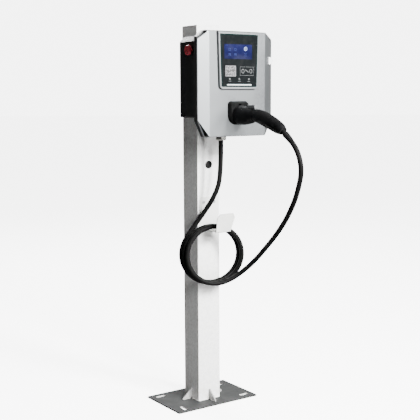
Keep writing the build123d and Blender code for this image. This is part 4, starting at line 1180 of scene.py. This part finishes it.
def makeFloor(setup):
    half = setup["size"]
    floor = addPiece("studioFloor", [(-half, -half, 0), (half, -half, 0), (half, half, 0), (-half, half, 0)],
                     [(0, 1, 2, 3)], smooth=False)
    material, tree, shader = startMaterial("floorPaint", Roughness=0.6)
    cloud = spread(tree, noiseOf(tree, 2.5, 5.0), 0.3, 0.7)
    tree.links.new(mixColour(tree, cloud, setup["colour"], setup["patch"]), shader.inputs["Base Color"])
    shader.inputs["Emission Color"].default_value = (1, 1, 1, 1)
    shader.inputs["Emission Strength"].default_value = setup["lift"]
    dull = tree.nodes.new("ShaderNodeBsdfDiffuse")       # what the post sees of the floor
    dull.inputs["Color"].default_value = (setup["bounce"],) * 3 + (1,)
    path = tree.nodes.new("ShaderNodeLightPath")
    mix = tree.nodes.new("ShaderNodeMixShader")
    tree.links.new(path.outputs["Is Camera Ray"], mix.inputs[0])
    tree.links.new(dull.outputs[0], mix.inputs[1])
    tree.links.new(shader.outputs[0], mix.inputs[2])
    tree.links.new(mix.outputs[0], tree.nodes["Material Output"].inputs["Surface"])
    dress(floor, material)


lights = {
    "frontPanel": {"place": (-0.3, -4.3, 2.6), "aim": (0, -0.1, 0.8), "wide": 0.8, "high": 1.7, "power": 560},
    "keyPanel": {"place": (1.2, -4.2, 3.2), "aim": (0, -0.1, 0.7), "wide": 0.9, "high": 1.2, "power": 880},
    "lowPanel": {"place": (1.2, -4.4, 0.75), "aim": (0, -0.1, 0.8), "wide": 0.8, "high": 0.8, "power": 110},
    "topPanel": {"place": (0.2, 0.3, 4.2), "aim": (0, 0, 0.8), "wide": 2.0, "high": 2.0, "power": 12},
    "backPanel": {"place": (1.0, 3.4, 3.6), "aim": (0, 0, 0.9), "wide": 1.6, "high": 1.6, "power": 300},
}


def makeLight(name, setup):
    data = bpy.data.lights.new(name, "AREA")
    data.shape = "RECTANGLE"
    data.size = setup["wide"]
    data.size_y = setup["high"]
    data.energy = setup["power"]
    lamp = bpy.data.objects.new(name, data)
    bpy.context.scene.collection.objects.link(lamp)
    lamp.location = setup["place"]
    lamp.rotation_euler = (Vector(setup["aim"]) - Vector(setup["place"])).to_track_quat("-Z", "Y").to_euler()


skySetup = {"seen": 6.0, "cast": 0.055}


def makeSky(setup):
    # white behind the post, and a softer grey as the light that reaches it
    world = bpy.data.worlds.new("studioSky")
    bpy.context.scene.world = world
    world.use_nodes = True
    tree = world.node_tree
    tree.nodes.clear()
    out = tree.nodes.new("ShaderNodeOutputWorld")
    mix = tree.nodes.new("ShaderNodeMixShader")
    path = tree.nodes.new("ShaderNodeLightPath")
    cast = tree.nodes.new("ShaderNodeBackground")
    seen = tree.nodes.new("ShaderNodeBackground")
    cast.inputs["Color"].default_value = (1, 1, 1, 1)
    cast.inputs["Strength"].default_value = setup["cast"]
    seen.inputs["Color"].default_value = (1, 1, 1, 1)
    seen.inputs["Strength"].default_value = setup["seen"]
    tree.links.new(path.outputs["Is Camera Ray"], mix.inputs[0])
    tree.links.new(cast.outputs[0], mix.inputs[1])
    tree.links.new(seen.outputs[0], mix.inputs[2])
    tree.links.new(mix.outputs[0], out.inputs[0])


makeFloor(floorSetup)
for lightName, lightSetup in lights.items():
    makeLight(lightName, lightSetup)
makeSky(skySetup)
print("floor and lights ready")
